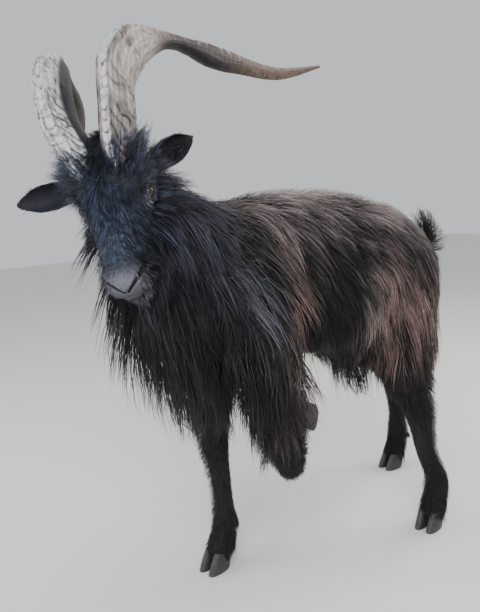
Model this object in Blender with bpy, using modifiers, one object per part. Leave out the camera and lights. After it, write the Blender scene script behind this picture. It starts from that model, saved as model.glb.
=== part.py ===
"""A life-size standing billy goat with a long coat, as closed solids parted into its named pieces.

Metres, +X to the goat's front, +Y to its left, +Z up, the floor at Z = 0. The flesh is one
union of lofted forms, out to the tips of the coat, from which blocks part the head, the neck,
the mane and the legs. Horns, ears, eyes, tail and claws are solids of their own, let into the
flesh with a small clearance. The left foreleg is lifted and folded.
"""

import math

import bmesh
import bpy
from mathutils import Matrix, Vector

# ---- driving sizes -------------------------------------------------------------------------
BACK_TOP = 0.876            # height of the coat along the back
GAP = 0.0004                # clearance between pieces that touch
RING_SIDES = 20             # points round a lofted form before the union
SMALL_SIDES = 12            # points round an ear, a horn, a claw or the tail
FINE_STEPS = 4              # rings between two stations of a form of the flesh
VOXEL = 0.0065              # fineness of the union of the flesh
SMOOTHING = 8               # passes that blend one form into the next
FLESH_TRIANGLES = 4200      # of the union, before it is parted
FULLNESS = 2.2              # of a section: 2 is an ellipse, more is squarer, less is more pointed
HORN_FULLNESS = 1.8
CLAW_FULLNESS = 2.3

FRONT = Vector((1, 0, 0))
LEFT = Vector((0, 1, 0))
UP = Vector((0, 0, 1))

# ---- the head's own frame ------------------------------------------------------------------
POLL = Vector((0.851, -0.015, 0.964))   # crown of the skull, between the horns
HEAD_TURN = math.radians(40)            # to the goat's left
HEAD_NOD = math.radians(72)             # the face's slope below level
HEAD_TILT = math.radians(11)            # left side of the face raised


def head_axes():
    """(down the face to the nose, out of the forehead, to the head's left)."""
    facing = Vector((math.cos(HEAD_TURN), math.sin(HEAD_TURN), 0))
    side = Vector((-math.sin(HEAD_TURN), math.cos(HEAD_TURN), 0))
    along = facing * math.cos(HEAD_NOD) - UP * math.sin(HEAD_NOD)
    out = facing * math.sin(HEAD_NOD) + UP * math.cos(HEAD_NOD)
    tilt = Matrix.Rotation(HEAD_TILT, 3, facing)
    return tilt @ along, tilt @ out, tilt @ side


ALONG, OUT, SIDE = head_axes()


def in_head(along, out, side):
    """The point at these distances from the poll, in the head's own frame."""
    return POLL + ALONG * along + OUT * out + SIDE * side


# ---- lofts ---------------------------------------------------------------------------------
def between(a, b, c, d, t):
    """Catmull-Rom from b to c."""
    return 0.5 * (
        2 * b + (c - a) * t + (2 * a - 5 * b + 4 * c - d) * t * t
        + (3 * b - a - 3 * c + d) * t * t * t
    )


def filled_in(stations, steps):
    """Stations (centre, half width, reach up, reach down) with smooth ones between them."""
    rows = [list(centre) + list(sizes) for centre, *sizes in stations]
    padded = [rows[0]] + rows + [rows[-1]]
    dense = []
    for i in range(len(rows) - 1):
        around = padded[i:i + 4]
        for step in range(steps):
            dense.append([between(*numbers, step / steps) for numbers in zip(*around)])
    dense.append(rows[-1])
    return [(Vector(row[:3]), *row[3:]) for row in dense]


def sections(stations, across, steps, sides, fullness):
    """Rings of points round the smooth line through the stations."""
    rows = filled_in(stations, steps)
    rings = []
    for i, (centre, wide, high, low) in enumerate(rows):
        ahead = rows[min(i + 1, len(rows) - 1)][0] - rows[max(i - 1, 0)][0]
        lift = ahead.cross(across).normalized()
        side = lift.cross(ahead).normalized()
        ring = []
        for k in range(sides):
            angle = 2 * math.pi * k / sides
            c, s = math.cos(angle), math.sin(angle)
            swell = (abs(c) ** fullness + abs(s) ** fullness) ** (-1 / fullness)
            reach = high if s > 0 else low
            ring.append(centre + (side * wide * c + lift * reach * s) * swell)
        rings.append(ring)
    return rings


def closed_body(name, rings):
    shape = bmesh.new()
    placed = [[shape.verts.new(point) for point in ring] for ring in rings]
    sides = len(rings[0])
    for ring, following in zip(placed, placed[1:]):
        for k in range(sides):
            after = (k + 1) % sides
            shape.faces.new((ring[k], ring[after], following[after], following[k]))
    shape.faces.new(placed[0][::-1])
    shape.faces.new(placed[-1])
    bmesh.ops.recalc_face_normals(shape, faces=shape.faces)
    return new_object(name, shape)


def loft(name, stations, across, steps=FINE_STEPS, sides=RING_SIDES, fullness=FULLNESS):
    """A closed body through rounded sections, each as wide along across as its station says."""
    return closed_body(name, sections(stations, across, steps, sides, fullness))


def new_object(name, shape):
    mesh = bpy.data.meshes.new(name)
    shape.to_mesh(mesh)
    shape.free()
    obj = bpy.data.objects.new(name, mesh)
    bpy.context.scene.collection.objects.link(obj)
    return obj


# ---- forms of the flesh and coat: (centre, half width, reach up or forward, reach down or back)
def trunk():
    """The chest is keeled below, and the belly hair hangs lower towards the thighs."""
    middle = 0.620
    back = BACK_TOP - middle
    stations = [
        (Vector((-0.082, 0, middle - 0.010)), 0.040, 0.050, 0.060),
        (Vector((-0.056, 0, middle)), 0.072, 0.100, 0.110),
        (Vector((-0.005, 0, middle)), 0.106, 0.144, 0.140),
        (Vector((0.075, 0, middle)), 0.132, 0.190, 0.150),
        (Vector((0.170, 0, middle)), 0.148, back * 0.86, 0.165),
        (Vector((0.270, 0, middle)), 0.157, back * 0.95, 0.165),
        (Vector((0.360, 0, middle)), 0.162, back, 0.130),
        (Vector((0.450, 0, middle)), 0.160, back, 0.100),
        (Vector((0.560, 0, middle)), 0.152, back * 0.99, 0.110),
        (Vector((0.650, 0, middle)), 0.142, back * 0.94, 0.140),
        (Vector((0.725, 0, middle)), 0.120, back * 0.76, 0.150),
        (Vector((0.775, 0, middle - 0.005)), 0.075, 0.115, 0.100),
        (Vector((0.795, 0, middle - 0.010)), 0.030, 0.050, 0.050),
    ]
    return loft("trunk_form", stations, LEFT)


def neck():
    stations = [
        (Vector((0.585, 0.000, 0.700)), 0.125, 0.140, 0.130),
        (Vector((0.665, 0.000, 0.740)), 0.118, 0.132, 0.150),
        (Vector((0.735, -0.008, 0.790)), 0.104, 0.112, 0.145),
        (in_head(0.060, -0.125, 0), 0.084, 0.080, 0.110),
        (in_head(0.060, -0.075, 0), 0.060, 0.055, 0.070),
    ]
    return loft("neck_form", stations, LEFT)


def mane():
    """The hair that hangs from throat and brisket."""
    stations = [
        (Vector((0.790, -0.004, 0.835)), 0.082, 0.050, 0.070),
        (Vector((0.787, -0.004, 0.750)), 0.112, 0.072, 0.095),
        (Vector((0.772, -0.005, 0.650)), 0.124, 0.080, 0.100),
        (Vector((0.744, -0.010, 0.550)), 0.112, 0.073, 0.090),
        (Vector((0.708, -0.020, 0.460)), 0.086, 0.060, 0.072),
        (Vector((0.682, -0.030, 0.395)), 0.056, 0.042, 0.046),
        (Vector((0.668, -0.036, 0.345)), 0.016, 0.014, 0.016),
    ]
    return loft("mane_form", stations, LEFT)


def head():
    """Sections down the face, from behind the crown to the lips."""
    sections = [
        (-0.030, -0.050, 0.034, 0.034, 0.034),
        (-0.005, -0.050, 0.058, 0.056, 0.056),
        (0.040, -0.050, 0.067, 0.064, 0.062),
        (0.085, -0.048, 0.067, 0.060, 0.062),
        (0.125, -0.046, 0.056, 0.052, 0.058),
        (0.165, -0.044, 0.044, 0.044, 0.050),
        (0.200, -0.042, 0.038, 0.039, 0.044),
        (0.230, -0.041, 0.036, 0.035, 0.041),
        (0.250, -0.041, 0.031, 0.027, 0.037),
        (0.263, -0.044, 0.016, 0.013, 0.020),
    ]
    stations = [
        (in_head(along, out, 0), wide, high, low) for along, out, wide, high, low in sections
    ]
    return loft("head_form", stations, SIDE)


def jaw_hair():
    """The hair on cheeks and jaw that becomes the beard."""
    stations = [
        (in_head(0.055, -0.085, 0), 0.086, 0.044, 0.060),
        (in_head(0.125, -0.092, 0), 0.082, 0.040, 0.060),
        (in_head(0.190, -0.094, -0.002), 0.068, 0.036, 0.052),
        (in_head(0.255, -0.098, -0.004), 0.056, 0.032, 0.044),
        (in_head(0.320, -0.106, -0.002), 0.046, 0.028, 0.036),
        (in_head(0.385, -0.118, 0), 0.032, 0.020, 0.026),
        (in_head(0.430, -0.128, 0), 0.010, 0.008, 0.010),
    ]
    return loft("jaw_form", stations, SIDE)


def crown_tuft():
    """The hair that stands up between the horns."""
    stations = [
        (in_head(0.050, -0.010, 0), 0.046, 0.024, 0.030),
        (in_head(0.005, -0.004, 0), 0.050, 0.030, 0.036),
        (in_head(-0.030, -0.010, 0), 0.034, 0.026, 0.030),
        (in_head(-0.048, -0.018, 0), 0.012, 0.010, 0.012),
    ]
    return loft("crown_form", stations, SIDE)


RIGHT_FORE = [
    (Vector((0.632, -0.078, 0.660)), 0.060, 0.082, 0.100),
    (Vector((0.614, -0.104, 0.560)), 0.064, 0.096, 0.112),
    (Vector((0.606, -0.112, 0.470)), 0.058, 0.090, 0.108),
    (Vector((0.606, -0.106, 0.395)), 0.048, 0.070, 0.080),
    (Vector((0.607, -0.098, 0.325)), 0.038, 0.044, 0.050),
    (Vector((0.602, -0.094, 0.255)), 0.032, 0.033, 0.034),
    (Vector((0.594, -0.091, 0.180)), 0.026, 0.026, 0.028),
    (Vector((0.588, -0.090, 0.115)), 0.031, 0.030, 0.036),
    (Vector((0.595, -0.089, 0.072)), 0.031, 0.031, 0.034),
    (Vector((0.606, -0.088, 0.036)), 0.030, 0.034, 0.032),
]
LEFT_FORE_UPPER = [
    (Vector((0.620, 0.080, 0.680)), 0.062, 0.088, 0.095),
    (Vector((0.606, 0.108, 0.590)), 0.062, 0.100, 0.098),
    (Vector((0.592, 0.116, 0.500)), 0.056, 0.102, 0.108),
    (Vector((0.587, 0.120, 0.425)), 0.050, 0.102, 0.108),
    (Vector((0.576, 0.122, 0.370)), 0.044, 0.084, 0.092),
    (Vector((0.562, 0.122, 0.325)), 0.040, 0.056, 0.058),
    (Vector((0.556, 0.121, 0.288)), 0.034, 0.042, 0.038),
    (Vector((0.552, 0.120, 0.264)), 0.018, 0.022, 0.020),
]
LEFT_FORE_LOWER = [
    (Vector((0.558, 0.120, 0.290)), 0.022, 0.022, 0.022),
    (Vector((0.546, 0.114, 0.306)), 0.027, 0.024, 0.026),
    (Vector((0.524, 0.098, 0.345)), 0.024, 0.022, 0.024),
    (Vector((0.502, 0.080, 0.388)), 0.024, 0.023, 0.025),
    (Vector((0.488, 0.068, 0.414)), 0.026, 0.026, 0.026),
    (Vector((0.474, 0.057, 0.402)), 0.027, 0.026, 0.026),
    (Vector((0.462, 0.050, 0.382)), 0.026, 0.024, 0.024),
]
LEFT_HIND = [
    (Vector((0.080, 0.066, 0.660)), 0.058, 0.100, 0.100),
    (Vector((0.122, 0.096, 0.575)), 0.062, 0.112, 0.100),
    (Vector((0.146, 0.112, 0.490)), 0.062, 0.104, 0.098),
    (Vector((0.148, 0.124, 0.410)), 0.054, 0.082, 0.084),
    (Vector((0.134, 0.134, 0.340)), 0.043, 0.056, 0.066),
    (Vector((0.116, 0.140, 0.280)), 0.032, 0.038, 0.046),
    (Vector((0.104, 0.145, 0.190)), 0.027, 0.028, 0.031),
    (Vector((0.096, 0.148, 0.115)), 0.031, 0.031, 0.036),
    (Vector((0.100, 0.150, 0.072)), 0.031, 0.031, 0.034),
    (Vector((0.108, 0.151, 0.036)), 0.030, 0.034, 0.032),
]
RIGHT_HIND = [
    (Vector((0.060, -0.066, 0.660)), 0.058, 0.100, 0.100),
    (Vector((0.062, -0.094, 0.575)), 0.062, 0.112, 0.105),
    (Vector((0.036, -0.108, 0.490)), 0.062, 0.104, 0.100),
    (Vector((-0.016, -0.118, 0.410)), 0.053, 0.080, 0.082),
    (Vector((-0.070, -0.124, 0.340)), 0.042, 0.054, 0.060),
    (Vector((-0.106, -0.128, 0.280)), 0.032, 0.038, 0.042),
    (Vector((-0.120, -0.131, 0.190)), 0.027, 0.028, 0.031),
    (Vector((-0.128, -0.133, 0.115)), 0.031, 0.031, 0.036),
    (Vector((-0.120, -0.134, 0.072)), 0.031, 0.031, 0.034),
    (Vector((-0.110, -0.135, 0.036)), 0.030, 0.034, 0.032),
]


def sheath_tuft():
    """The hair that hangs from the belly in front of the thighs."""
    stations = [
        (Vector((0.250, 0.000, 0.500)), 0.070, 0.060, 0.080),
        (Vector((0.238, 0.000, 0.450)), 0.060, 0.052, 0.080),
        (Vector((0.228, 0.000, 0.405)), 0.042, 0.036, 0.066),
        (Vector((0.220, 0.000, 0.366)), 0.014, 0.012, 0.030),
    ]
    return loft("sheath_form", stations, LEFT)


def flesh_forms():
    return [
        trunk(), neck(), mane(), head(), jaw_hair(), crown_tuft(), sheath_tuft(),
        loft("right_fore_form", RIGHT_FORE, LEFT),
        loft("left_fore_form", LEFT_FORE_UPPER, LEFT),
        loft("left_fore_lower_form", LEFT_FORE_LOWER, LEFT),
        loft("left_hind_form", LEFT_HIND, LEFT),
        loft("right_hind_form", RIGHT_HIND, LEFT),
    ]


# ---- horns, ears, eyes, tail and claws -----------------------------------------------------
HORN_LINE = [(0.016, -0.016, 0.032), (-0.056, -0.010, 0.043), (-0.128, -0.012, 0.0530),
             (-0.208, -0.071, 0.080), (-0.264, -0.184, 0.122), (-0.274, -0.320, 0.198),
             (-0.276, -0.440, 0.290), (-0.312, -0.532, 0.390)]
HORN_SPREAD = {"left": 1.0, "right": 0.84}     # how far out the horns sweep behind
HORN_WIDE = [0.0250, 0.0255, 0.0250, 0.0235, 0.0210, 0.0175, 0.0125, 0.0035]
HORN_FRONT = [0.0430, 0.0450, 0.0445, 0.0385, 0.0305, 0.0240, 0.0155, 0.0040]
HORN_LENGTHS = ["base", "middle", "tip"]
HORN_STEPS = 3              # rings between two stations of a horn


def horn(side_name, mirror):
    """One horn in three lengths, cut across where each ends."""
    root = HORN_LINE[0][2]
    stations = []
    for (along, out, side), wide, deep in zip(HORN_LINE, HORN_WIDE, HORN_FRONT):
        swept = root + (side - root) * HORN_SPREAD[side_name]
        stations.append((in_head(along, out, swept * mirror), wide, deep, deep))
    rings = sections(stations, SIDE * mirror, HORN_STEPS, SMALL_SIDES, HORN_FULLNESS)
    third = (len(rings) - 1) // len(HORN_LENGTHS)
    lengths = []
    for i, length_name in enumerate(HORN_LENGTHS):
        part = rings[i * third:(i + 1) * third + 1]
        if i > 0:
            step = (part[1][0] - part[0][0]).normalized() * GAP
            part[0] = [point + step for point in part[0]]
        lengths.append(closed_body(f"horn_{side_name}_{length_name}", part))
    return lengths


EARS = {
    "left": (Vector((0.032, -0.072, 0.062)), Vector((-0.56, -0.60, 0.57))),
    "right": (Vector((0.032, -0.072, -0.066)), Vector((0.06, -0.05, -1.00))),
}
EAR_LENGTH = 0.140
EAR_SHAPE = [(0.00, 0.014, 0.010), (0.22, 0.018, 0.010), (0.45, 0.025, 0.009), (0.68, 0.024, 0.008),
             (0.88, 0.015, 0.006), (1.00, 0.004, 0.003)]


def ear(side_name):
    root, direction = EARS[side_name]
    heading = ALONG * direction.x + OUT * direction.y + SIDE * direction.z
    heading.normalize()
    stations = [
        (in_head(*root) + heading * EAR_LENGTH * t, half_width, thick, thick)
        for t, half_width, thick in EAR_SHAPE
    ]
    return loft(f"ear_{side_name}", stations, ALONG, 1, SMALL_SIDES, 2)


EYE_RADIUS = 0.0150
EYE_PLACE = (0.094, -0.034, 0.0560)     # the left one's, in the head's frame


def eye(side_name, mirror):
    shape = bmesh.new()
    bmesh.ops.create_icosphere(shape, subdivisions=2, radius=EYE_RADIUS)
    along, out, side = EYE_PLACE
    bmesh.ops.translate(shape, verts=shape.verts, vec=in_head(along, out, side * mirror))
    return new_object(f"eye_{side_name}", shape)


def tail():
    stations = [
        (Vector((-0.072, 0, 0.655)), 0.024, 0.018, 0.018),
        (Vector((-0.108, 0, 0.672)), 0.028, 0.022, 0.022),
        (Vector((-0.112, 0, 0.718)), 0.030, 0.024, 0.024),
        (Vector((-0.088, 0, 0.762)), 0.024, 0.020, 0.020),
        (Vector((-0.058, 0, 0.790)), 0.006, 0.005, 0.005),
    ]
    return loft("tail", stations, LEFT, 2, SMALL_SIDES, 2)


# Each foot on the floor: the middle of its sole, and the heading of its toes in degrees.
FEET = {
    "front_right": (Vector((0.622, -0.088, 0)), 8),
    "hind_left": (Vector((0.124, 0.152, 0)), 6),
    "hind_right": (Vector((-0.094, -0.136, 0)), -6),
}
LIFTED_SOLE = Vector((0.424, 0.047, 0.357))
LIFTED_FLEX = 78            # degrees that the lifted foot is flexed backwards
CLAW_OFFSET = 0.0150        # from the foot's midline to a claw's
CLAW_HALF = 0.0140
CLAW_SLOPE = 0.30           # how far the claw leans back as it rises
CLAW_SECTIONS = [(0.000, 1.00, 0.036, 0.026), (0.022, 0.96, 0.033, 0.025),
                 (0.044, 0.84, 0.027, 0.022)]


def claw(name, side, place):
    """One half of a cloven hoof, its sole flat, under the matrix that places the foot."""
    stations = [
        (Vector((0, side * CLAW_OFFSET, height)), CLAW_HALF * wide, back, front)
        for height, wide, front, back in CLAW_SECTIONS
    ]
    obj = loft(name, stations, LEFT, 1, SMALL_SIDES, CLAW_FULLNESS)
    for vert in obj.data.vertices:
        vert.co.x -= CLAW_SLOPE * vert.co.z
    obj.data.transform(place)
    return obj


def foot_places():
    places = {}
    for leg_name, (sole, heading) in FEET.items():
        turn = Matrix.Rotation(math.radians(heading), 4, "Z")
        places[leg_name] = Matrix.Translation(sole) @ turn
    flexed = Matrix.Rotation(math.radians(LIFTED_FLEX), 4, "Y")
    places["front_left"] = Matrix.Translation(LIFTED_SOLE) @ flexed
    return places


def claws():
    made = []
    for leg_name, place in foot_places().items():
        for claw_name, side in (("outer", 1), ("inner", -1)):
            made.append(claw(f"claw_{leg_name}_{claw_name}", side, place))
    return made


# ---- solid operations ----------------------------------------------------------------------
def boolean(obj, cutter, operation):
    modifier = obj.modifiers.new(operation, "BOOLEAN")
    modifier.operation = operation
    modifier.solver = "EXACT"
    modifier.object = cutter
    settle(obj)


def settle(obj):
    """Replaces the object's mesh by what its modifiers make of it."""
    view = bpy.context.evaluated_depsgraph_get()
    made = bpy.data.meshes.new_from_object(obj.evaluated_get(view))
    obj.modifiers.clear()
    obj.data = made


def discard(obj):
    bpy.data.objects.remove(obj, do_unlink=True)


def duplicate(obj, name):
    copied = obj.copy()
    copied.data = obj.data.copy()
    copied.name = name
    bpy.context.scene.collection.objects.link(copied)
    return copied


def swollen(obj, amount):
    """A copy of the solid, larger by amount on every side."""
    copied = duplicate(obj, obj.name + "_room")
    normals = [vert.normal.copy() for vert in copied.data.vertices]
    for vert, normal in zip(copied.data.vertices, normals):
        vert.co += normal * amount
    return copied


def union_of(forms):
    """The forms as one closed skin, blended where they meet, in few triangles."""
    shape = bmesh.new()
    for form in forms:
        shape.from_mesh(form.data)
        discard(form)
    flesh = new_object("flesh", shape)
    remesh = flesh.modifiers.new("union", "REMESH")
    remesh.mode = "VOXEL"
    remesh.voxel_size = VOXEL
    blend = flesh.modifiers.new("blend", "SMOOTH")
    blend.factor = 0.5
    blend.iterations = SMOOTHING
    settle(flesh)
    triangles = sum(len(face.vertices) - 2 for face in flesh.data.polygons)
    thin = flesh.modifiers.new("thin", "DECIMATE")
    thin.ratio = FLESH_TRIANGLES / triangles
    settle(flesh)
    return flesh


def block(outline, u, v, depth, origin=Vector((0, 0, 0)), grow=0.0):
    """A convex prism over the outline in directions u and v, as deep as depth on both sides."""
    w = u.cross(v).normalized()
    corners = [Vector(point) for point in outline]
    middle = sum(corners, Vector((0, 0))) / len(corners)
    moved = []
    for i, corner in enumerate(corners):
        before = outward_normal(corners[i - 1], corner, middle)
        after = outward_normal(corner, corners[(i + 1) % len(corners)], middle)
        moved.append(corner + (before + after) * grow / (1 + before.dot(after)))
    shape = bmesh.new()
    verts = [
        shape.verts.new(origin + u * x + v * y + w * side * (depth + grow))
        for side in (-1, 1) for x, y in moved
    ]
    bmesh.ops.convex_hull(shape, input=verts)
    bmesh.ops.recalc_face_normals(shape, faces=shape.faces)
    return new_object("block", shape)


def outward_normal(a, b, middle):
    edge = b - a
    normal = Vector((edge.y, -edge.x)).normalized()
    return normal if normal.dot(a - middle) > 0 else -normal


def part_off(flesh, name, **shape):
    """Takes from the flesh what lies in the block, as a piece with a thin cut round it."""
    piece = duplicate(flesh, name)
    exact = block(**shape)
    boolean(piece, exact, "INTERSECT")
    discard(exact)
    roomy = block(**shape, grow=GAP)
    boolean(flesh, roomy, "DIFFERENCE")
    discard(roomy)
    return piece


# Blocks that part the flesh. The head's is drawn in the head's frame, the others from the side.
HEAD_BLOCK = [(-0.20, 0.200), (-0.20, 0.042), (0.100, -0.146), (0.295, -0.088), (0.42, 0.040),
              (0.42, 0.200)]
HEAD_HALF_WIDTH = 0.112
NECK_BLOCK = [(0.580, 1.20), (0.590, 0.900), (0.735, 0.600), (1.10, 0.600), (1.10, 1.20)]
MANE_BLOCK = [(0.735, 0.602), (0.690, 0.320), (0.690, 0.20), (1.10, 0.20), (1.10, 0.602)]
LEG_BLOCKS = {
    "leg_front_right": ([(0.500, 0.00), (0.500, 0.470), (0.700, 0.520), (0.700, 0.00)], -1),
    "leg_front_left": ([(0.400, 0.20), (0.400, 0.460), (0.690, 0.520), (0.690, 0.20)], 1),
    "leg_hind_left": ([(-0.060, 0.00), (-0.060, 0.560), (0.250, 0.470), (0.250, 0.00)], 1),
    "leg_hind_right": ([(-0.220, 0.00), (-0.220, 0.560), (0.160, 0.470), (0.160, 0.00)], -1),
}
LEG_INNER = 0.012           # a leg's block starts this far from the midline
LEG_OUTER = 0.300


def part_flesh(flesh):
    pieces = [part_off(flesh, "head", outline=HEAD_BLOCK, u=ALONG, v=OUT, depth=HEAD_HALF_WIDTH,
                       origin=POLL)]
    pieces.append(part_off(flesh, "neck", outline=NECK_BLOCK, u=FRONT, v=UP, depth=0.3))
    pieces.append(part_off(flesh, "mane", outline=MANE_BLOCK, u=FRONT, v=UP, depth=0.3))
    for name, (outline, side) in LEG_BLOCKS.items():
        middle = LEFT * side * (LEG_INNER + LEG_OUTER) / 2
        half = (LEG_OUTER - LEG_INNER) / 2
        pieces.append(part_off(flesh, name, outline=outline, u=FRONT, v=UP, depth=half, origin=middle))
    flesh.name = "trunk"
    return pieces + [flesh]


# ---- finishes ------------------------------------------------------------------------------
FINISHES = {
    "coat": ((0.018, 0.016, 0.017), 0.75),
    "horn": ((0.36, 0.31, 0.25), 0.55),
    "eye": ((0.16, 0.09, 0.03), 0.10),
    "claw": ((0.05, 0.045, 0.04), 0.50),
}


def finish(kind):
    colour, roughness = FINISHES[kind]
    made = bpy.data.materials.new(kind)
    made.use_nodes = True
    shader = made.node_tree.nodes["Principled BSDF"]
    shader.inputs["Base Color"].default_value = (*colour, 1)
    shader.inputs["Roughness"].default_value = roughness
    return made


def stand_at_origin(pieces):
    """Moves the goat so that the middle of its box, seen from above, is at the origin."""
    corners = [vert.co for piece in pieces for vert in piece.data.vertices]
    low = Vector((min(c.x for c in corners), min(c.y for c in corners), 0))
    high = Vector((max(c.x for c in corners), max(c.y for c in corners), 0))
    for piece in pieces:
        piece.data.transform(Matrix.Translation(-(low + high) / 2))


def clear_scene():
    for obj in list(bpy.data.objects):
        bpy.data.objects.remove(obj, do_unlink=True)


def build():
    clear_scene()
    horns = horn("left", 1) + horn("right", -1)
    eyes = [eye("left", 1), eye("right", -1)]
    ears = [ear("left"), ear("right")]
    hooves = claws()
    tail_piece = tail()
    horn_roots = [piece for piece in horns if piece.name.endswith("base")]
    let_in = horn_roots + eyes + ears + hooves + [tail_piece]
    flesh = union_of(flesh_forms())
    for piece in let_in:
        room = swollen(piece, GAP)
        boolean(flesh, room, "DIFFERENCE")
        discard(room)
    pieces = part_flesh(flesh) + horns + eyes + ears + hooves + [tail_piece]
    stand_at_origin(pieces)
    materials = {kind: finish(kind) for kind in FINISHES}
    goat = bpy.data.collections.new("goat")
    bpy.context.scene.collection.children.link(goat)
    for piece in pieces:
        kind = piece.name.split("_")[0]
        piece.data.materials.clear()
        piece.data.materials.append(materials.get(kind, materials["coat"]))
        bpy.context.scene.collection.objects.unlink(piece)
        goat.objects.link(piece)


build()
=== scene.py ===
"""The dressing of the goat: one skin over the flesh solids, a long coat of mesh tufts, ridged
horns, wet eyes and cloven hooves, on a plain floor in studio light.

Metres, +X to the goat's front, +Y to its left, +Z up. Stations and combing are written in the
frame in which the solids were drawn, and drawn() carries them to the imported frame.
"""

import math
from types import SimpleNamespace

import bmesh
import bpy
import numpy as np
from mathutils import Matrix, Vector, noise
from mathutils.bvhtree import BVHTree
from mathutils.kdtree import KDTree


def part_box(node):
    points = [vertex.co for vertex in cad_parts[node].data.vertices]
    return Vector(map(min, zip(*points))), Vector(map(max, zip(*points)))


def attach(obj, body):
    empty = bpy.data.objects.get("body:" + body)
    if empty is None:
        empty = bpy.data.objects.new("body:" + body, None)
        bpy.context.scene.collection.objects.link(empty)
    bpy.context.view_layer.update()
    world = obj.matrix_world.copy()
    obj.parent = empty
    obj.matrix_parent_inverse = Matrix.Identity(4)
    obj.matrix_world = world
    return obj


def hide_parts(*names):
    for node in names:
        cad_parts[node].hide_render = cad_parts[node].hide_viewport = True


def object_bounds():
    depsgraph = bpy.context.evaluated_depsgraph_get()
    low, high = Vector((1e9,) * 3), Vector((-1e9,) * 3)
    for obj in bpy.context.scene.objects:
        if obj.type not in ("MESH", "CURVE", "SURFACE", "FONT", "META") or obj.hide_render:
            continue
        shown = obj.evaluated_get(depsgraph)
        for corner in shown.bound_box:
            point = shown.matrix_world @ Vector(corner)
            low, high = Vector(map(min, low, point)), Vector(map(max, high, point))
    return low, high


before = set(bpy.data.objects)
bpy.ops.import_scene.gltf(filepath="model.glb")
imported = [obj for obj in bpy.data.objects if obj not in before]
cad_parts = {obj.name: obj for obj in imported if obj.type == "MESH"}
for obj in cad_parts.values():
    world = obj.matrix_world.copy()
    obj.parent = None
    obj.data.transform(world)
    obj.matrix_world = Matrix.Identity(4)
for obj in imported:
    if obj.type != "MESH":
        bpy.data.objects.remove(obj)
CAD_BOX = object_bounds()
SEED = 11

FRONT = Vector((1, 0, 0))
LEFT = Vector((0, 1, 0))
UP = Vector((0, 0, 1))

# ---- the head's own frame ------------------------------------------------------------------
HEAD_TURN = math.radians(40)            # to the goat's left
HEAD_NOD = math.radians(72)             # the face's slope below level
HEAD_TILT = math.radians(11)            # left side of the face raised
POLL_DRAWN = Vector((0.851, -0.015, 0.964))
EYE_PLACE = (0.094, -0.034, 0.0560)     # of the left eye's solid, from the poll


def head_axes():
    """(down the face to the nose, out of the forehead, to the head's left)."""
    facing = Vector((math.cos(HEAD_TURN), math.sin(HEAD_TURN), 0))
    side = Vector((-math.sin(HEAD_TURN), math.cos(HEAD_TURN), 0))
    along = facing * math.cos(HEAD_NOD) - UP * math.sin(HEAD_NOD)
    out = facing * math.sin(HEAD_NOD) + UP * math.cos(HEAD_NOD)
    tilt = Matrix.Rotation(HEAD_TILT, 3, facing)
    return tilt @ along, tilt @ out, tilt @ side


def middle_of(node):
    low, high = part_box(node)
    return (low + high) / 2


ALONG, OUT, SIDE = head_axes()
POLL = middle_of("eye_left") - ALONG * EYE_PLACE[0] - OUT * EYE_PLACE[1] - SIDE * EYE_PLACE[2]
ORIGIN = POLL - POLL_DRAWN              # where the solids' drawing had its origin
HEAD_FRAME = np.array([ALONG, OUT, SIDE])


def in_head(along, out, side):
    """The point at these distances from the poll, in the head's own frame."""
    return POLL + ALONG * along + OUT * out + SIDE * side


def head_direction(along, out, side):
    return ALONG * along + OUT * out + SIDE * side


def drawn(x, y, z):
    """A point of the solids' drawing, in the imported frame."""
    return ORIGIN + Vector((x, y, z))


def head_places(points):
    """Rows of (along, out, side) of an array of points."""
    return (points - np.array(POLL)) @ HEAD_FRAME.T


# ---- lofts ---------------------------------------------------------------------------------
def between(a, b, c, d, t):
    """Catmull-Rom from b to c."""
    return 0.5 * (
        2 * b + (c - a) * t + (2 * a - 5 * b + 4 * c - d) * t * t
        + (3 * b - a - 3 * c + d) * t * t * t
    )


def filled_in(rows, steps):
    """Rows of numbers with smooth ones between them."""
    padded = [rows[0]] + rows + [rows[-1]]
    dense = []
    for i in range(len(rows) - 1):
        around = padded[i:i + 4]
        for step in range(steps):
            dense.append([between(*numbers, step / steps) for numbers in zip(*around)])
    dense.append(list(rows[-1]))
    return dense


def frames_along(rows, across):
    """(centre, side, lift, sizes) at each row, where side is the nearest to across."""
    centres = [Vector(row[:3]) for row in rows]
    made = []
    for i, row in enumerate(rows):
        ahead = centres[min(i + 1, len(rows) - 1)] - centres[max(i - 1, 0)]
        lift = ahead.cross(across).normalized()
        made.append((centres[i], lift.cross(ahead).normalized(), lift, row[3:]))
    return made


def new_object(name, shape):
    mesh = bpy.data.meshes.new(name)
    shape.to_mesh(mesh)
    shape.free()
    return linked(name, mesh)


def linked(name, mesh):
    obj = bpy.data.objects.new(name, mesh)
    bpy.context.scene.collection.objects.link(obj)
    return obj


def closed_body(name, rings):
    shape = bmesh.new()
    placed = [[shape.verts.new(point) for point in ring] for ring in rings]
    sides = len(rings[0])
    for ring, following in zip(placed, placed[1:]):
        for k in range(sides):
            after = (k + 1) % sides
            shape.faces.new((ring[k], ring[after], following[after], following[k]))
    shape.faces.new(placed[0][::-1])
    shape.faces.new(placed[-1])
    bmesh.ops.recalc_face_normals(shape, faces=shape.faces)
    return new_object(name, shape)


def loft(name, stations, across, steps=4, sides=24, fullness=2.2):
    """A closed body through rounded sections (centre, half width, reach up, reach down)."""
    rows = [list(centre) + list(sizes) for centre, *sizes in stations]
    rings = []
    for centre, side, lift, (wide, high, low) in frames_along(filled_in(rows, steps), across):
        ring = []
        for k in range(sides):
            angle = 2 * math.pi * k / sides
            c, s = math.cos(angle), math.sin(angle)
            swell = (abs(c) ** fullness + abs(s) ** fullness) ** (-1 / fullness)
            reach = high if s > 0 else low
            ring.append(centre + (side * wide * c + lift * reach * s) * swell)
        rings.append(ring)
    return closed_body(name, rings)


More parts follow.
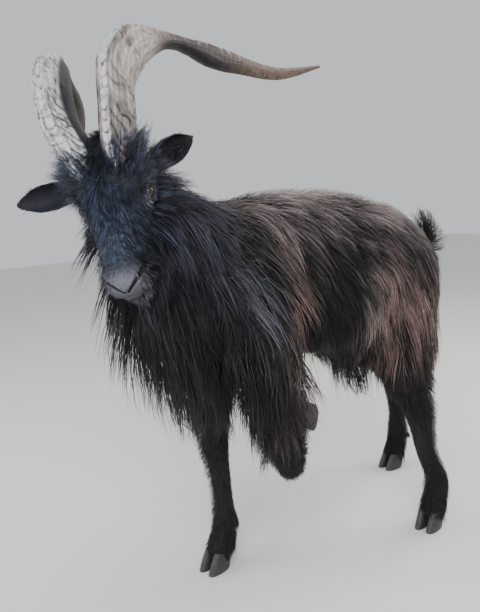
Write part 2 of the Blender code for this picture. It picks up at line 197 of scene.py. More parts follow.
def settle(obj):
    """Replaces the object's mesh by what its modifiers make of it."""
    view = bpy.context.evaluated_depsgraph_get()
    made = bpy.data.meshes.new_from_object(obj.evaluated_get(view))
    obj.modifiers.clear()
    obj.data = made


def union_of(name, forms, voxel, smoothings):
    """The forms as one closed skin, blended where they meet."""
    shape = bmesh.new()
    for form in forms:
        shape.from_mesh(form.data)
        bpy.data.objects.remove(form, do_unlink=True)
    flesh = new_object(name, shape)
    remesh = flesh.modifiers.new("union", "REMESH")
    remesh.mode = "VOXEL"
    remesh.voxel_size = voxel
    blend = flesh.modifiers.new("blend", "SMOOTH")
    blend.factor = 0.5
    blend.iterations = smoothings
    settle(flesh)
    return flesh


# ---- the body under the coat ---------------------------------------------------------------
# Every row is a section: its centre, half width, reach up or forward, and reach down or back.
BODY_VOXEL = 0.0055
BODY_SMOOTHINGS = 8
TRUNK_MIDDLE = 0.630
TRUNK = [(-0.066, 0.020, 0.030, 0.040), (-0.045, 0.048, 0.072, 0.085), (0.000, 0.076, 0.112, 0.115),
         (0.075, 0.100, 0.160, 0.120), (0.170, 0.112, 0.182, 0.120), (0.270, 0.122, 0.196, 0.125),
         (0.360, 0.128, 0.206, 0.110), (0.450, 0.128, 0.208, 0.085), (0.560, 0.118, 0.206, 0.095),
         (0.650, 0.105, 0.192, 0.115), (0.720, 0.085, 0.150, 0.110), (0.760, 0.050, 0.085, 0.075),
         (0.780, 0.015, 0.030, 0.030)]

# Each foot's last stations, as (forward of the sole, height, half width, forward, back).
PASTERN = [(-0.034, 0.125, 0.0215, 0.022, 0.025), (-0.034, 0.106, 0.0255, 0.024, 0.031),
           (-0.028, 0.074, 0.0250, 0.025, 0.027), (-0.018, 0.046, 0.0280, 0.030, 0.028),
           (-0.015, 0.034, 0.0275, 0.030, 0.027)]
FEET = {
    "front_right": (drawn(0.622, -0.088, 0), 8),
    "hind_left": (drawn(0.124, 0.152, 0), 6),
    "hind_right": (drawn(-0.094, -0.136, 0), -6),
}
LIFTED_SOLE = drawn(0.424, 0.047, 0.357)
LIFTED_FLEX = 78            # degrees that the lifted foot is flexed backwards

LEGS = {
    "front_right": [
        (0.640, -0.058, 0.720, 0.045, 0.080, 0.085), (0.632, -0.075, 0.640, 0.052, 0.075, 0.085),
        (0.612, -0.088, 0.560, 0.042, 0.055, 0.066), (0.599, -0.089, 0.480, 0.034, 0.042, 0.048),
        (0.597, -0.089, 0.400, 0.028, 0.033, 0.036), (0.598, -0.090, 0.335, 0.0265, 0.028, 0.030),
        (0.597, -0.089, 0.300, 0.0285, 0.031, 0.028), (0.593, -0.088, 0.255, 0.0235, 0.024, 0.025),
        (0.588, -0.087, 0.180, 0.0195, 0.020, 0.022)],
    "hind_left": [
        (0.085, 0.055, 0.690, 0.050, 0.085, 0.080), (0.105, 0.075, 0.620, 0.056, 0.095, 0.085),
        (0.134, 0.094, 0.550, 0.054, 0.090, 0.082), (0.152, 0.106, 0.480, 0.046, 0.074, 0.074),
        (0.157, 0.112, 0.410, 0.036, 0.055, 0.058), (0.146, 0.121, 0.350, 0.028, 0.038, 0.044),
        (0.132, 0.128, 0.300, 0.0265, 0.031, 0.041), (0.123, 0.131, 0.262, 0.0245, 0.028, 0.032),
        (0.112, 0.137, 0.190, 0.0205, 0.022, 0.0245)],
    "hind_right": [
        (0.070, -0.055, 0.690, 0.050, 0.085, 0.080), (0.066, -0.075, 0.620, 0.056, 0.095, 0.088),
        (0.056, -0.094, 0.550, 0.054, 0.090, 0.086), (0.034, -0.106, 0.480, 0.046, 0.074, 0.078),
        (-0.014, -0.117, 0.410, 0.036, 0.052, 0.058), (-0.066, -0.123, 0.345, 0.028, 0.036, 0.042),
        (-0.098, -0.127, 0.300, 0.0265, 0.030, 0.039),
        (-0.108, -0.129, 0.262, 0.0245, 0.027, 0.031),
        (-0.120, -0.131, 0.190, 0.0205, 0.022, 0.0245)],
}
LIFTED_LEG = [
    (0.640, 0.058, 0.720, 0.045, 0.080, 0.085), (0.628, 0.078, 0.640, 0.052, 0.075, 0.085),
    (0.608, 0.098, 0.560, 0.042, 0.055, 0.062), (0.592, 0.108, 0.480, 0.034, 0.044, 0.046),
    (0.578, 0.114, 0.400, 0.029, 0.036, 0.038), (0.564, 0.119, 0.335, 0.028, 0.031, 0.030),
    (0.557, 0.120, 0.300, 0.029, 0.028, 0.028), (0.554, 0.120, 0.276, 0.018, 0.018, 0.018)]
LIFTED_CANNON = [
    (0.558, 0.120, 0.292, 0.020, 0.020, 0.020), (0.546, 0.114, 0.308, 0.023, 0.021, 0.022),
    (0.524, 0.098, 0.345, 0.0195, 0.0185, 0.020), (0.502, 0.080, 0.388, 0.0195, 0.019, 0.021),
    (0.488, 0.068, 0.412, 0.0235, 0.0235, 0.0235), (0.474, 0.057, 0.402, 0.0235, 0.023, 0.023),
    (0.460, 0.050, 0.382, 0.0245, 0.0225, 0.0225)]
BRISKET = [
    (0.745, 0.000, 0.790, 0.060, 0.040, 0.050), (0.752, 0.000, 0.700, 0.078, 0.050, 0.080),
    (0.735, 0.000, 0.610, 0.080, 0.050, 0.085), (0.695, 0.000, 0.535, 0.060, 0.040, 0.060),
    (0.668, 0.000, 0.500, 0.020, 0.015, 0.020)]
SHEATH = [
    (0.270, 0.000, 0.510, 0.024, 0.024, 0.024), (0.246, 0.000, 0.486, 0.018, 0.018, 0.022),
    (0.232, 0.000, 0.458, 0.012, 0.012, 0.014), (0.228, 0.000, 0.446, 0.004, 0.004, 0.004)]
TAIL = [
    (-0.050, 0.000, 0.662, 0.018, 0.016, 0.016), (-0.084, 0.000, 0.668, 0.017, 0.013, 0.015),
    (-0.106, 0.000, 0.690, 0.016, 0.012, 0.013), (-0.108, 0.000, 0.722, 0.014, 0.010, 0.010),
    (-0.096, 0.000, 0.750, 0.009, 0.007, 0.007), (-0.084, 0.000, 0.764, 0.002, 0.002, 0.002)]


def stations_of(rows):
    return [(drawn(*row[:3]), *row[3:]) for row in rows]


def standing_foot(name):
    sole, _ = FEET[name]
    return [(sole + Vector((forward, 0, height)), *sizes) for forward, height, *sizes in PASTERN]


def standing_leg(name):
    """The leg down to its hoof, whose last stations stand over the foot's sole."""
    return loft(name, stations_of(LEGS[name]) + standing_foot(name), LEFT)


def neck():
    return loft("neck", [
        (drawn(0.585, 0.000, 0.700), 0.085, 0.105, 0.100),
        (drawn(0.665, 0.000, 0.745), 0.078, 0.093, 0.110),
        (drawn(0.735, -0.008, 0.800), 0.066, 0.078, 0.105),
        (in_head(0.060, -0.125, 0), 0.056, 0.054, 0.078),
        (in_head(0.060, -0.075, 0), 0.042, 0.038, 0.046),
    ], LEFT)


def body():
    trunk = [(drawn(x, 0, TRUNK_MIDDLE), wide, high, low) for x, wide, high, low in TRUNK]
    forms = [loft("trunk", trunk, LEFT), neck()]
    for name, rows in (("lifted", LIFTED_LEG), ("cannon", LIFTED_CANNON), ("brisket", BRISKET),
                       ("sheath", SHEATH), ("tail", TAIL)):
        forms.append(loft(name, stations_of(rows), LEFT))
    forms += [standing_leg(name) for name in LEGS]
    return union_of("body", forms, BODY_VOXEL, BODY_SMOOTHINGS)


# ---- the head ------------------------------------------------------------------------------
HEAD_VOXEL = 0.0023
HEAD_SMOOTHINGS = 5
# (along, out, half width, reach out of the forehead, reach towards the jaw)
SKULL = [(-0.026, -0.050, 0.028, 0.028, 0.030), (-0.004, -0.050, 0.052, 0.048, 0.050),
         (0.035, -0.049, 0.0620, 0.058, 0.056), (0.080, -0.047, 0.0640, 0.055, 0.054),
         (0.120, -0.046, 0.0510, 0.048, 0.050), (0.160, -0.045, 0.0400, 0.042, 0.044),
         (0.200, -0.044, 0.0355, 0.0385, 0.040), (0.230, -0.044, 0.0400, 0.0345, 0.040),
         (0.248, -0.046, 0.0420, 0.0300, 0.039), (0.262, -0.049, 0.0365, 0.0235, 0.034),
         (0.272, -0.052, 0.0250, 0.0150, 0.024), (0.277, -0.053, 0.0110, 0.0070, 0.011)]
JAW = [(0.030, -0.080, 0.040, 0.030, 0.036), (0.070, -0.086, 0.048, 0.030, 0.038),
       (0.115, -0.086, 0.042, 0.028, 0.034), (0.165, -0.082, 0.031, 0.022, 0.026),
       (0.215, -0.078, 0.027, 0.018, 0.020), (0.245, -0.076, 0.024, 0.015, 0.016),
       (0.260, -0.073, 0.016, 0.010, 0.010)]
# Root, heading and the side to which the cup opens, all in the head's frame.
EARS = {
    "left": ((0.034, -0.074, 0.064), (-0.54, -0.66, 0.52), (0.2, 0.3, 1.0)),
    "right": ((0.042, -0.072, -0.070), (-0.05, -0.05, -1.0), (0.35, 1.0, 0)),
}
EAR_LENGTH = {"left": 0.131, "right": 0.158}
# (share of the length, half width, curl)
EAR_SHAPE = [(-0.14, 0.016, 0.55), (0.08, 0.017, 0.60), (0.25, 0.021, 0.62), (0.45, 0.0265, 0.55),
             (0.68, 0.0250, 0.42), (0.86, 0.0155, 0.30), (0.96, 0.0075, 0.20), (1.00, 0.0025, 0.10)]
EAR_THICK = 0.0050
EAR_FULL_THICK_FROM = 0.012             # half width under which the ear thins
EAR_ARC = 14                            # steps across the ear's back


def ear(side_name):
    """A leaf, curled to a cup that opens to one side and is a tube at its root."""
    root, direction, facing = EARS[side_name]
    heading = head_direction(*direction).normalized()
    opening = head_direction(*facing)
    opening = (opening - heading * opening.dot(heading)).normalized()
    across = heading.cross(opening)
    rings = []
    for t, wide, curl in filled_in(EAR_SHAPE, 5):
        base = in_head(*root) + heading * EAR_LENGTH[side_name] * t
        thick = EAR_THICK * min(1, wide / EAR_FULL_THICK_FROM)
        ring = []
        for inner, steps in ((0, range(EAR_ARC + 1)), (1, range(EAR_ARC, -1, -1))):
            for k in steps:
                angle = math.pi * (k / EAR_ARC - 0.5)
                edge = abs(math.sin(angle))
                half = wide - inner * thick * 0.5
                depth = wide * curl * 2 * math.cos(angle) - inner * thick * (1 - 0.6 * edge ** 4)
                ring.append(base + across * half * math.sin(angle) - opening * depth)
        rings.append(ring)
    return closed_body("ear_" + side_name, rings)


def head_stations(rows):
    return [(in_head(along, out, 0), *sizes) for along, out, *sizes in rows]


def head():
    forms = [loft("skull", head_stations(SKULL), SIDE, fullness=2.3),
             loft("jaw", head_stations(JAW), SIDE), ear("left"), ear("right")]
    return union_of("head", forms, HEAD_VOXEL, HEAD_SMOOTHINGS)


def skin_mesh():
    """Body and head as one closed surface."""
    skin = body()
    upper = head()
    join = skin.modifiers.new("join", "BOOLEAN")
    join.operation = "UNION"
    join.solver = "MANIFOLD"
    join.object = upper
    settle(skin)
    bpy.data.objects.remove(upper, do_unlink=True)
    skin.name = "skin"
    return skin


# ---- arrays of numbers, and the numbers that a mesh holds ------------------------------------
def bell(distance, radius):
    return np.exp(-(distance / radius) ** 2)


def smoothstep(low, high, value):
    t = np.clip((value - low) / (high - low), 0, 1)
    return t * t * (3 - 2 * t)


def unit(rows):
    return rows / np.maximum(np.linalg.norm(rows, axis=-1, keepdims=True), 1e-9)


def near_place(places, middle, reach):
    """1 at the middle, falling off with a reach of its own along each axis."""
    return np.exp(-(((places - middle) / reach) ** 2).sum(axis=1))


def mixed(a, b, share):
    """From colour a to colour b by a share for each point."""
    share = np.asarray(share, float)[..., None]
    return a * (1 - share) + b * share


def read_out(items, name, width, kind=float):
    """One property of every item of a mesh, a row for each."""
    flat = np.empty(len(items) * width, kind)
    items.foreach_get(name, flat)
    return flat.reshape(-1, width)


def points_of(mesh):
    return read_out(mesh.vertices, "co", 3)


def normals_of(mesh):
    return read_out(mesh.vertices, "normal", 3)


def triangles_of(mesh):
    """The corners of each triangle, as points and as loops."""
    mesh.calc_loop_triangles()
    triangles = mesh.loop_triangles
    return read_out(triangles, "vertices", 3, np.int32), read_out(triangles, "loops", 3, np.int32)


def colour_points(mesh, name, colours):
    rows = np.ones((len(mesh.vertices), 4))
    rows[:, :3] = colours
    layer = mesh.color_attributes.new(name, "FLOAT_COLOR", "POINT")
    layer.data.foreach_set("color", rows.ravel())


def map_points(mesh, name, places):
    """A UV map from one place for each point."""
    corner = read_out(mesh.loops, "vertex_index", 1, np.int32)[:, 0]
    layer = mesh.uv_layers.new(name=name)
    layer.data.foreach_set("uv", places[corner].ravel())


# ---- sculpting the skin --------------------------------------------------------------------
def distance_to_line(places, line):
    """Least distance from each place to the broken line, and how far along it (0 to 1)."""
    line = np.array(line, float)
    best = np.full(len(places), 1e9)
    where = np.zeros(len(places))
    for i, (a, b) in enumerate(zip(line, line[1:])):
        t = np.clip((places - a) @ (b - a) / ((b - a) @ (b - a)), 0, 1)
        gap = np.linalg.norm(places - a - t[:, None] * (b - a), axis=1)
        nearer = gap < best
        best[nearer] = gap[nearer]
        where[nearer] = (i + t[nearer]) / (len(line) - 1)
    return best, where


# On both sides of the head: (along, out, side), radius, how far the surface moves outwards.
SWELLS = [
    ((0.092, -0.049, 0.060), 0.029, 0.0100),  # rim of the eye's socket
    ((0.068, -0.022, 0.054), 0.018, 0.0080),  # brow over the eye
    ((0.128, -0.048, 0.048), 0.016, 0.0030),  # cheekbone
    ((0.125, -0.008, 0.040), 0.014, -0.0050),  # hollow between the eye and the bridge
    ((0.165, -0.014, 0.038), 0.020, -0.0060),  # side of the nose
    ((0.195, -0.052, 0.036), 0.020, -0.0040),  # behind the corner of the mouth
    ((0.236, -0.020, 0.034), 0.012, 0.0030),  # wing of the nostril
    ((0.250, -0.056, 0.028), 0.013, 0.0030),  # upper lip
    ((0.262, -0.024, 0.000), 0.012, 0.0015),  # end of the nose
    ((0.020, 0.002, 0.020), 0.020, 0.0030),  # forehead
    ((0.034, 0.000, 0.034), 0.026, 0.0090),  # skin that rises round the horns
]
NOSTRIL = [(0.2380, -0.0215, 0.0395), (0.2440, -0.0215, 0.0350), (0.2510, -0.0235, 0.0275),
           (0.2570, -0.0262, 0.0195), (0.2630, -0.0300, 0.0110), (0.2672, -0.0350, 0.0035)]
NOSE_FACING = np.array((0.62, 0.785, 0.0))     # in the head's frame
PHILTRUM = [(0.2672, -0.0340, 0.0), (0.2720, -0.0430, 0.0), (0.2745, -0.0520, 0.0)]
MOUTH = [(0.2760, -0.0590, 0.0), (0.2700, -0.0630, 0.0120), (0.2560, -0.0680, 0.0240),
         (0.2330, -0.0715, 0.0330), (0.2040, -0.0720, 0.0370)]
EYE_RADIUS = 0.0145
EYE_SEEN = (0.0960, -0.0490, 0.0595)           # middle of the seen eyeball
LID_THICK = 0.0021
EYE_AXIS = Vector((0.10, 0.60, 0.79))          # where the left eye looks, in the head's frame
EYE_LONG = Vector((0.94, -0.20, 0.0))          # from its outer to its inner corner
EYE_HALF_LONG = 0.0116
LID_RISE = {"upper": 0.0058, "lower": 0.0052}
LIDS_REACH = 0.030              # from the eye's middle, as far as the lids are drawn
LIDS_BLEND = (0.0125, 0.0245)   # where they pass into the face
LIDS_OPEN = (-0.0012, 0.0010)   # from ball to lid, across the edge of the opening
SUNK = 0.0035                   # how far the skin passes inside the eyeball
BEHIND_EYE = -0.004             # what lies deeper than this isn't part of the lids
ROUND_EYE = 0.024               # reach of the lids' finer mesh, bare edges and dark line
# Ridges and grooves: height, distance from their line, reach.
LID_RIM = (0.0012, 0.0022, 0.0016)
LID_CREASE = (0.0016, 0.0064, 0.0016)
NOSTRIL_RIM = (0.0018, 0.0065, 0.0028)
MOUTH_CUT = (0.0034, 0.0, 0.0019)
LIP_ROLL = (0.0010, 0.0050, 0.0030)
PHILTRUM_CUT = (0.0014, 0.0, 0.0016)
# At the nostril's outer end, and how much less at its inner end.
NOSTRIL_DEEP = (0.0085, 0.0045)
NOSTRIL_WIDE = (0.0031, 0.0012)
ANY = math.inf
# Boxes in the head's frame: lowest and highest along, out and side.
MUZZLE = ((0.215, -0.085, -0.055), (0.30, ANY, 0.055))
BARE_NOSE = ((0.238, -0.052, -0.026), (ANY, ANY, 0.026))
NOSTRILS = ((0.21, -0.065, -ANY), (ANY, ANY, ANY))


def within(places, box):
    low, high = box
    return np.all((places > low) & (places < high), axis=1)


def ridge(gap, height, middle, reach):
    return height * bell(gap - middle, reach)


def round_eye(own, reach):
    """The places in front of an eye, in that eye's axes, within reach of its middle."""
    return (np.hypot(own[:, 0], own[:, 1]) < reach) & (own[:, 2] > BEHIND_EYE)


def nose_view(places):
    """Places seen square on to the end of the nose, so that a line drawn on it stays on it."""
    places = np.array(places, float)
    return places - (places @ NOSE_FACING)[:, None] * NOSE_FACING


def mirrored(line, side):
    return [(along, out, across * side) for along, out, across in line]


def eye_axes(side):
    """(long axis, towards the brow, outwards) of one eye, in the head's frame."""
    outwards = Vector((EYE_AXIS.x, EYE_AXIS.y, EYE_AXIS.z * side)).normalized()
    long_axis = (EYE_LONG - outwards * EYE_LONG.dot(outwards)).normalized()
    browwards = long_axis.cross(outwards) * -side
    return long_axis, browwards, outwards


def eye_middle(side):
    along, out, across = EYE_SEEN
    return np.array((along, out, across * side))


def lid_places(places, side):
    """Places in one eye's own axes, and how far outside the opening of its lids."""
    axes = np.array(eye_axes(side))
    own = (places - eye_middle(side)) @ axes.T
    rise = np.where(own[:, 1] > 0, LID_RISE["upper"], LID_RISE["lower"])
    limit = rise * np.clip(1 - (own[:, 0] / EYE_HALF_LONG) ** 2, 0, 1)
    past_end = np.clip(np.abs(own[:, 0]) - EYE_HALF_LONG, 0, None)
    outside = np.where(
        past_end > 0, np.hypot(past_end, own[:, 1]), np.abs(own[:, 1]) - limit
    )
    return own, outside


def set_lids(places):
    """Draws the skin over each eyeball as lids, round an opening with a rim."""
    for side in (1, -1):
        own, outside = lid_places(places, side)
        spread = np.hypot(own[:, 0], own[:, 1])
        over_ball = np.sqrt(np.clip((EYE_RADIUS + LID_THICK) ** 2 - spread ** 2, 0, None))
        in_ball = np.sqrt(np.clip((EYE_RADIUS - SUNK) ** 2 - spread ** 2, 0, None))
        rim = ridge(outside, *LID_RIM) - ridge(outside, *LID_CREASE)
        share = 1 - smoothstep(*LIDS_BLEND, spread)
        lidded = own[:, 2] * (1 - share) + (over_ball + rim) * share
        opened = smoothstep(*LIDS_OPEN, outside)
        height = in_ball * (1 - opened) + lidded * opened
        height = np.where(round_eye(own, LIDS_REACH), height, own[:, 2])
        places += (height - own[:, 2])[:, None] * np.array(eye_axes(side)[2])
    return places


def nostril_gap(places, side):
    """Distance from one nostril's line, and how far along it."""
    return distance_to_line(nose_view(places), nose_view(mirrored(NOSTRIL, side)))


def sculpted(points, normals):
    """The skin's points after the face has been worked: swells, lids, nostrils and mouth."""
    places = head_places(points)
    outwards = normals @ HEAD_FRAME.T
    moved = np.zeros(len(places))
    for (along, out, across), radius, amount in SWELLS:
        for side in (1, -1):
            gap = np.linalg.norm(places - (along, out, across * side), axis=1)
            moved += amount * bell(gap, radius)
    on_nose = smoothstep(-0.075, -0.062, places[:, 1]) * smoothstep(0.20, 0.22, places[:, 0])
    for side in (1, -1):
        gap, where = nostril_gap(places, side)
        gap = np.where(on_nose > 0.5, gap, 1.0)
        depth, width = (outer - less * where for outer, less in (NOSTRIL_DEEP, NOSTRIL_WIDE))
        moved -= depth * bell(gap, width)
        moved += ridge(gap, *NOSTRIL_RIM) * (1 - 0.6 * where)
        gap, where = distance_to_line(places, mirrored(MOUTH, side))
        moved -= ridge(gap, *MOUTH_CUT) * (1 - 0.5 * where)
        moved += ridge(gap, *LIP_ROLL)
    gap, _ = distance_to_line(nose_view(places), nose_view(PHILTRUM))
    moved -= ridge(gap, *PHILTRUM_CUT) * on_nose
    places = set_lids(places + outwards * moved[:, None])
    return places @ HEAD_FRAME + np.array(POLL)


def finer(obj, chosen):
    """Splits in four the faces whose corners the test picks."""
    shape = bmesh.new()
    shape.from_mesh(obj.data)
    picked = chosen(points_of(obj.data))
    edges = [e for e in shape.edges if picked[e.verts[0].index] and picked[e.verts[1].index]]
    bmesh.ops.subdivide_edges(shape, edges=edges, cuts=1, use_grid_fill=True, smooth=0.0)
    shape.to_mesh(obj.data)
    shape.free()


def near_details(points):
    """The muzzle's end and the eyes, where the finest forms lie."""
    places = head_places(points)
    near = within(places, MUZZLE)
    for side in (1, -1):
        near |= np.linalg.norm(places - eye_middle(side), axis=1) < ROUND_EYE
    return near


def make_skin():
    skin = skin_mesh()
    finer(skin, near_details)
    mesh = skin.data
    mesh.vertices.foreach_set("co", sculpted(points_of(mesh), normals_of(mesh)).ravel())
    mesh.polygons.foreach_set("use_smooth", np.ones(len(mesh.polygons), bool))
    mesh.update()
    return skin


# ---- horns ---------------------------------------------------------------------------------
HORN_LINE = [(0.052, -0.028, 0.030), (0.016, -0.016, 0.033), (-0.056, -0.010, 0.043),
             (-0.128, -0.012, 0.0530), (-0.208, -0.071, 0.080), (-0.264, -0.184, 0.122),
             (-0.274, -0.320, 0.198), (-0.276, -0.440, 0.290), (-0.312, -0.532, 0.390)]
HORN_SPREAD = {"left": 1.0, "right": 0.84}     # how far out the horns sweep behind
HORN_APART = {"left": 0.0, "right": 0.026}     # how much further out the upright part stands
APART_SHARES = (0, 0.3, 1, 1, 0.9, 1.2, 0.6, 0.1, 0)     # of that, station by station
HORN_WIDE = [0.0200, 0.0290, 0.0300, 0.0290, 0.0250, 0.0190, 0.0170, 0.0125, 0.0030]
HORN_DEEP = [0.0300, 0.0470, 0.0495, 0.0480, 0.0400, 0.0300, 0.0238, 0.0152, 0.0034]
HORN_FULLNESS = 1.95                           # of its section: 2 is an ellipse
KEEL_NARROWER = 0.16
# The horn's depth narrows to a waist after the bend: distance from the root, share.
HORN_WAIST = [(0.00, 1.00), (0.25, 1.00), (0.33, 0.82), (0.38, 0.68), (0.43, 0.62), (0.47, 0.70),
              (0.515, 1.00), (0.58, 1.12), (0.65, 1.00), (0.90, 1.00)]
HOLLOW = (0.40, 0.425, 0.072)                  # share, middle and reach of the lower edge's hollow
FLANGE = (0.0045, 0.505, 0.060)                # height, middle and reach of the lower edge's step
HORN_STEPS = 48             # rings between two stations
HORN_SIDES = 84
KNOB_PITCH = 0.0185         # along the keel
CRACK_PITCH = 0.0230        # on the sides
STRIPE_PITCH = 0.0034       # of the fine rings behind the bend
SHELL_EDGES = (0.232, 0.292)                   # where the old outer shell of the bend breaks off
INNER_FROM = {"left": 0.62, "right": 1.02}     # where the dark face begins, from the keel's middle
BACK_SHADE_FROM = (2.1, 2.5)      # where painted shade darkens the right horn's back, from the keel's middle
FLAKING = {"left": 0.20, "right": 1.0}
OLD_ENDS = (0.27, 0.38)     # where the rough, pale length before the bend passes into the rest
BAND_EDGE = (0.25, 0.34)    # where the keel's own band ends, from its middle
GROOVE = (0.35, 0.045)      # middle and reach of the groove beside that band
# Heights and depths of the relief, in metres.
SCALE_HIGH = 0.0038
GROOVE_DEEP = 0.0020
PLATE_HIGH = 0.0016
CRACK_DEEP = 0.0034
NOTCH_DEEP = 0.0014
RING_HIGH = 0.0011
GRAIN_HIGH = 0.0012
LUMP_HIGH = 0.0014
SHELL_HIGH = 0.0026
EDGE_DEEP = 0.0024
BARK_HIGH = 0.0050
BARK_DEEP = 0.0022
PALE = np.array((0.50, 0.455, 0.420))
CHALK = np.array((0.52, 0.52, 0.56))
GREY = np.array((0.120, 0.106, 0.103))
ROSE = np.array((0.30, 0.235, 0.215))
BROWN = np.array((0.105, 0.060, 0.043))
SMOKE = np.array((0.016, 0.014, 0.016))
TAN = np.array((0.215, 0.160, 0.125))
INKY = np.array((0.022, 0.022, 0.029))


def ripple(points, scale, seed):
    """Smooth noise about 0 at each point."""
    step = Vector((seed * 7.3, seed * 3.1, seed * 5.7))
    return np.array([noise.noise(Vector(p) * scale + step) for p in points])


def line_at(phase, width):
    """1 on the lines where a phase passes a whole number, falling off on both sides."""
    return bell((phase + 0.5) % 1 - 0.5, width)


def streaks(first, second, seed):
    """Noise over the horn's unrolled surface."""
    places = np.stack(np.broadcast_arrays(first, second, 0.0), axis=2)
    return ripple(places.reshape(-1, 3), 1, seed).reshape(places.shape[:2])


def horn_rings(side_name, mirror):
    """Centre, side, front and half sizes of each ring, and its distance from the root."""
    root = HORN_LINE[1][2]
    stations = []
    for (along, out, side), *sizes, share in zip(HORN_LINE, HORN_WIDE, HORN_DEEP, APART_SHARES):
        swept = root + (side - root) * HORN_SPREAD[side_name] + share * HORN_APART[side_name]
        stations.append([*in_head(along, out, swept * mirror), *sizes])
    frames = frames_along(filled_in(stations, HORN_STEPS), SIDE * mirror)
    centres, sides, lifts, sizes = (np.array(part) for part in zip(*frames))
    steps = np.linalg.norm(np.diff(centres, axis=0), axis=1)
    reach = np.concatenate([[0], np.cumsum(steps)])
    waist = np.interp(reach, *zip(*HORN_WAIST))
    return centres, sides, lifts * -mirror, sizes * np.stack([waist ** 0.4, waist], axis=1), reach


def horn_marks(side_name, points, angle, reach, sizes):
    """What the horn's relief and colours are made of, with a value for each point."""
    shape = points.shape[:2]
    flat = points.reshape(-1, 3)
    m = SimpleNamespace(c=np.cos(angle)[None], s=np.sin(angle)[None], chalky=side_name == "right")
    m.turned, m.far = np.broadcast_arrays(np.abs(angle)[None], reach[:, None])
    m.wander = ripple(flat, 40, 1).reshape(shape)
    m.lumps = ripple(flat, 130, 2).reshape(shape)
    m.grain = streaks(angle[None] * 9, m.far * 22, 3)
    m.stripes = streaks(m.far / STRIPE_PITCH / 2, angle[None] * 0.8, 4)
    m.bark = streaks(angle[None] * 2.6 + m.far * 9, m.far * 24 - angle[None] * 1.1, 6)
    m.old = 1 - smoothstep(*OLD_ENDS, m.far)
    m.tapered = np.clip(sizes[:, :1] / HORN_WIDE[1], 0, 1)
    m.band = 1 - smoothstep(*BAND_EDGE, m.turned)
    m.groove = bell(m.turned - GROOVE[0], GROOVE[1])
    start = INNER_FROM[side_name]
    m.inner = smoothstep(start - 0.07, start + 0.07, -angle)[None]
    # On the right horn the back gets painted shade as well, as dark as the inner face.
    if m.chalky:
        m.inner = np.maximum(m.inner, smoothstep(*BACK_SHADE_FROM, m.turned))
    m.rough = 1 - 0.9 * m.inner
    m.scale_phase = (m.far - 0.085 * m.turned ** 2) / KNOB_PITCH + 0.45 * m.wander
    m.notch = line_at(m.scale_phase, 0.055) * m.band
    m.notch = m.notch * (0.35 + 0.65 * smoothstep(-0.15, 0.20, m.wander))
    slant = 0.042 * np.clip(m.turned - 0.40, 0, None) ** 0.75
    m.crack_phase = (m.far + slant) / CRACK_PITCH + 0.60 * m.wander
    m.some = smoothstep(-0.32, -0.02, ripple(flat, 24, 5).reshape(shape))
    m.some = m.some * (0.30 + 0.70 * (1 - smoothstep(0.10, 0.19, m.far)))
    m.crack = line_at(m.crack_phase, 0.105) * m.some * (1 - m.band) * m.rough
    m.edges, m.steps_up = np.zeros(shape), np.zeros(shape)
    for edge in SHELL_EDGES:
        past = m.far - edge - 0.024 * m.wander - 0.012 * m.lumps
        m.edges += bell(past - 0.0012, 0.0030) * smoothstep(0.1, 0.7, m.c + 0.3 + 0.8 * m.wander)
        before = 1 - smoothstep(-0.0015, 0.0015, past)
        m.steps_up += before * (1 - smoothstep(0.045, 0.060, -past))
    m.flaking = FLAKING[side_name] * m.old * m.rough * (1 - 0.6 * m.band)
    return m


def horn_relief(m):
    """How far each point of the horn stands out of its smooth form."""
    front, lower = smoothstep(-0.1, 0.6, m.c), smoothstep(0.2, 0.9, -m.c)
    relief = SCALE_HIGH * m.band * (0.5 - m.scale_phase % 1) * m.old
    relief = relief - GROOVE_DEEP * m.groove * m.old
    plate = (1 - m.band) * (m.crack_phase % 1 - 0.5) * m.old * m.rough * m.some
    relief = relief + PLATE_HIGH * plate
    relief = relief - CRACK_DEEP * m.crack * m.old - NOTCH_DEEP * m.notch * m.old
    relief = relief + RING_HIGH * m.stripes * m.tapered * (1 - 0.7 * m.old)
    fine = GRAIN_HIGH * m.grain + LUMP_HIGH * m.lumps * (0.25 + m.old)
    relief = relief + fine * m.tapered * m.rough
    relief = relief + SHELL_HIGH * np.clip(m.steps_up, 0, 1) * front - EDGE_DEEP * m.edges
    bark = BARK_HIGH * smoothstep(-0.03, 0.03, m.bark) - BARK_DEEP * bell(m.bark, 0.035)
    return relief + bark * m.flaking + ridge(m.far, *FLANGE) * lower


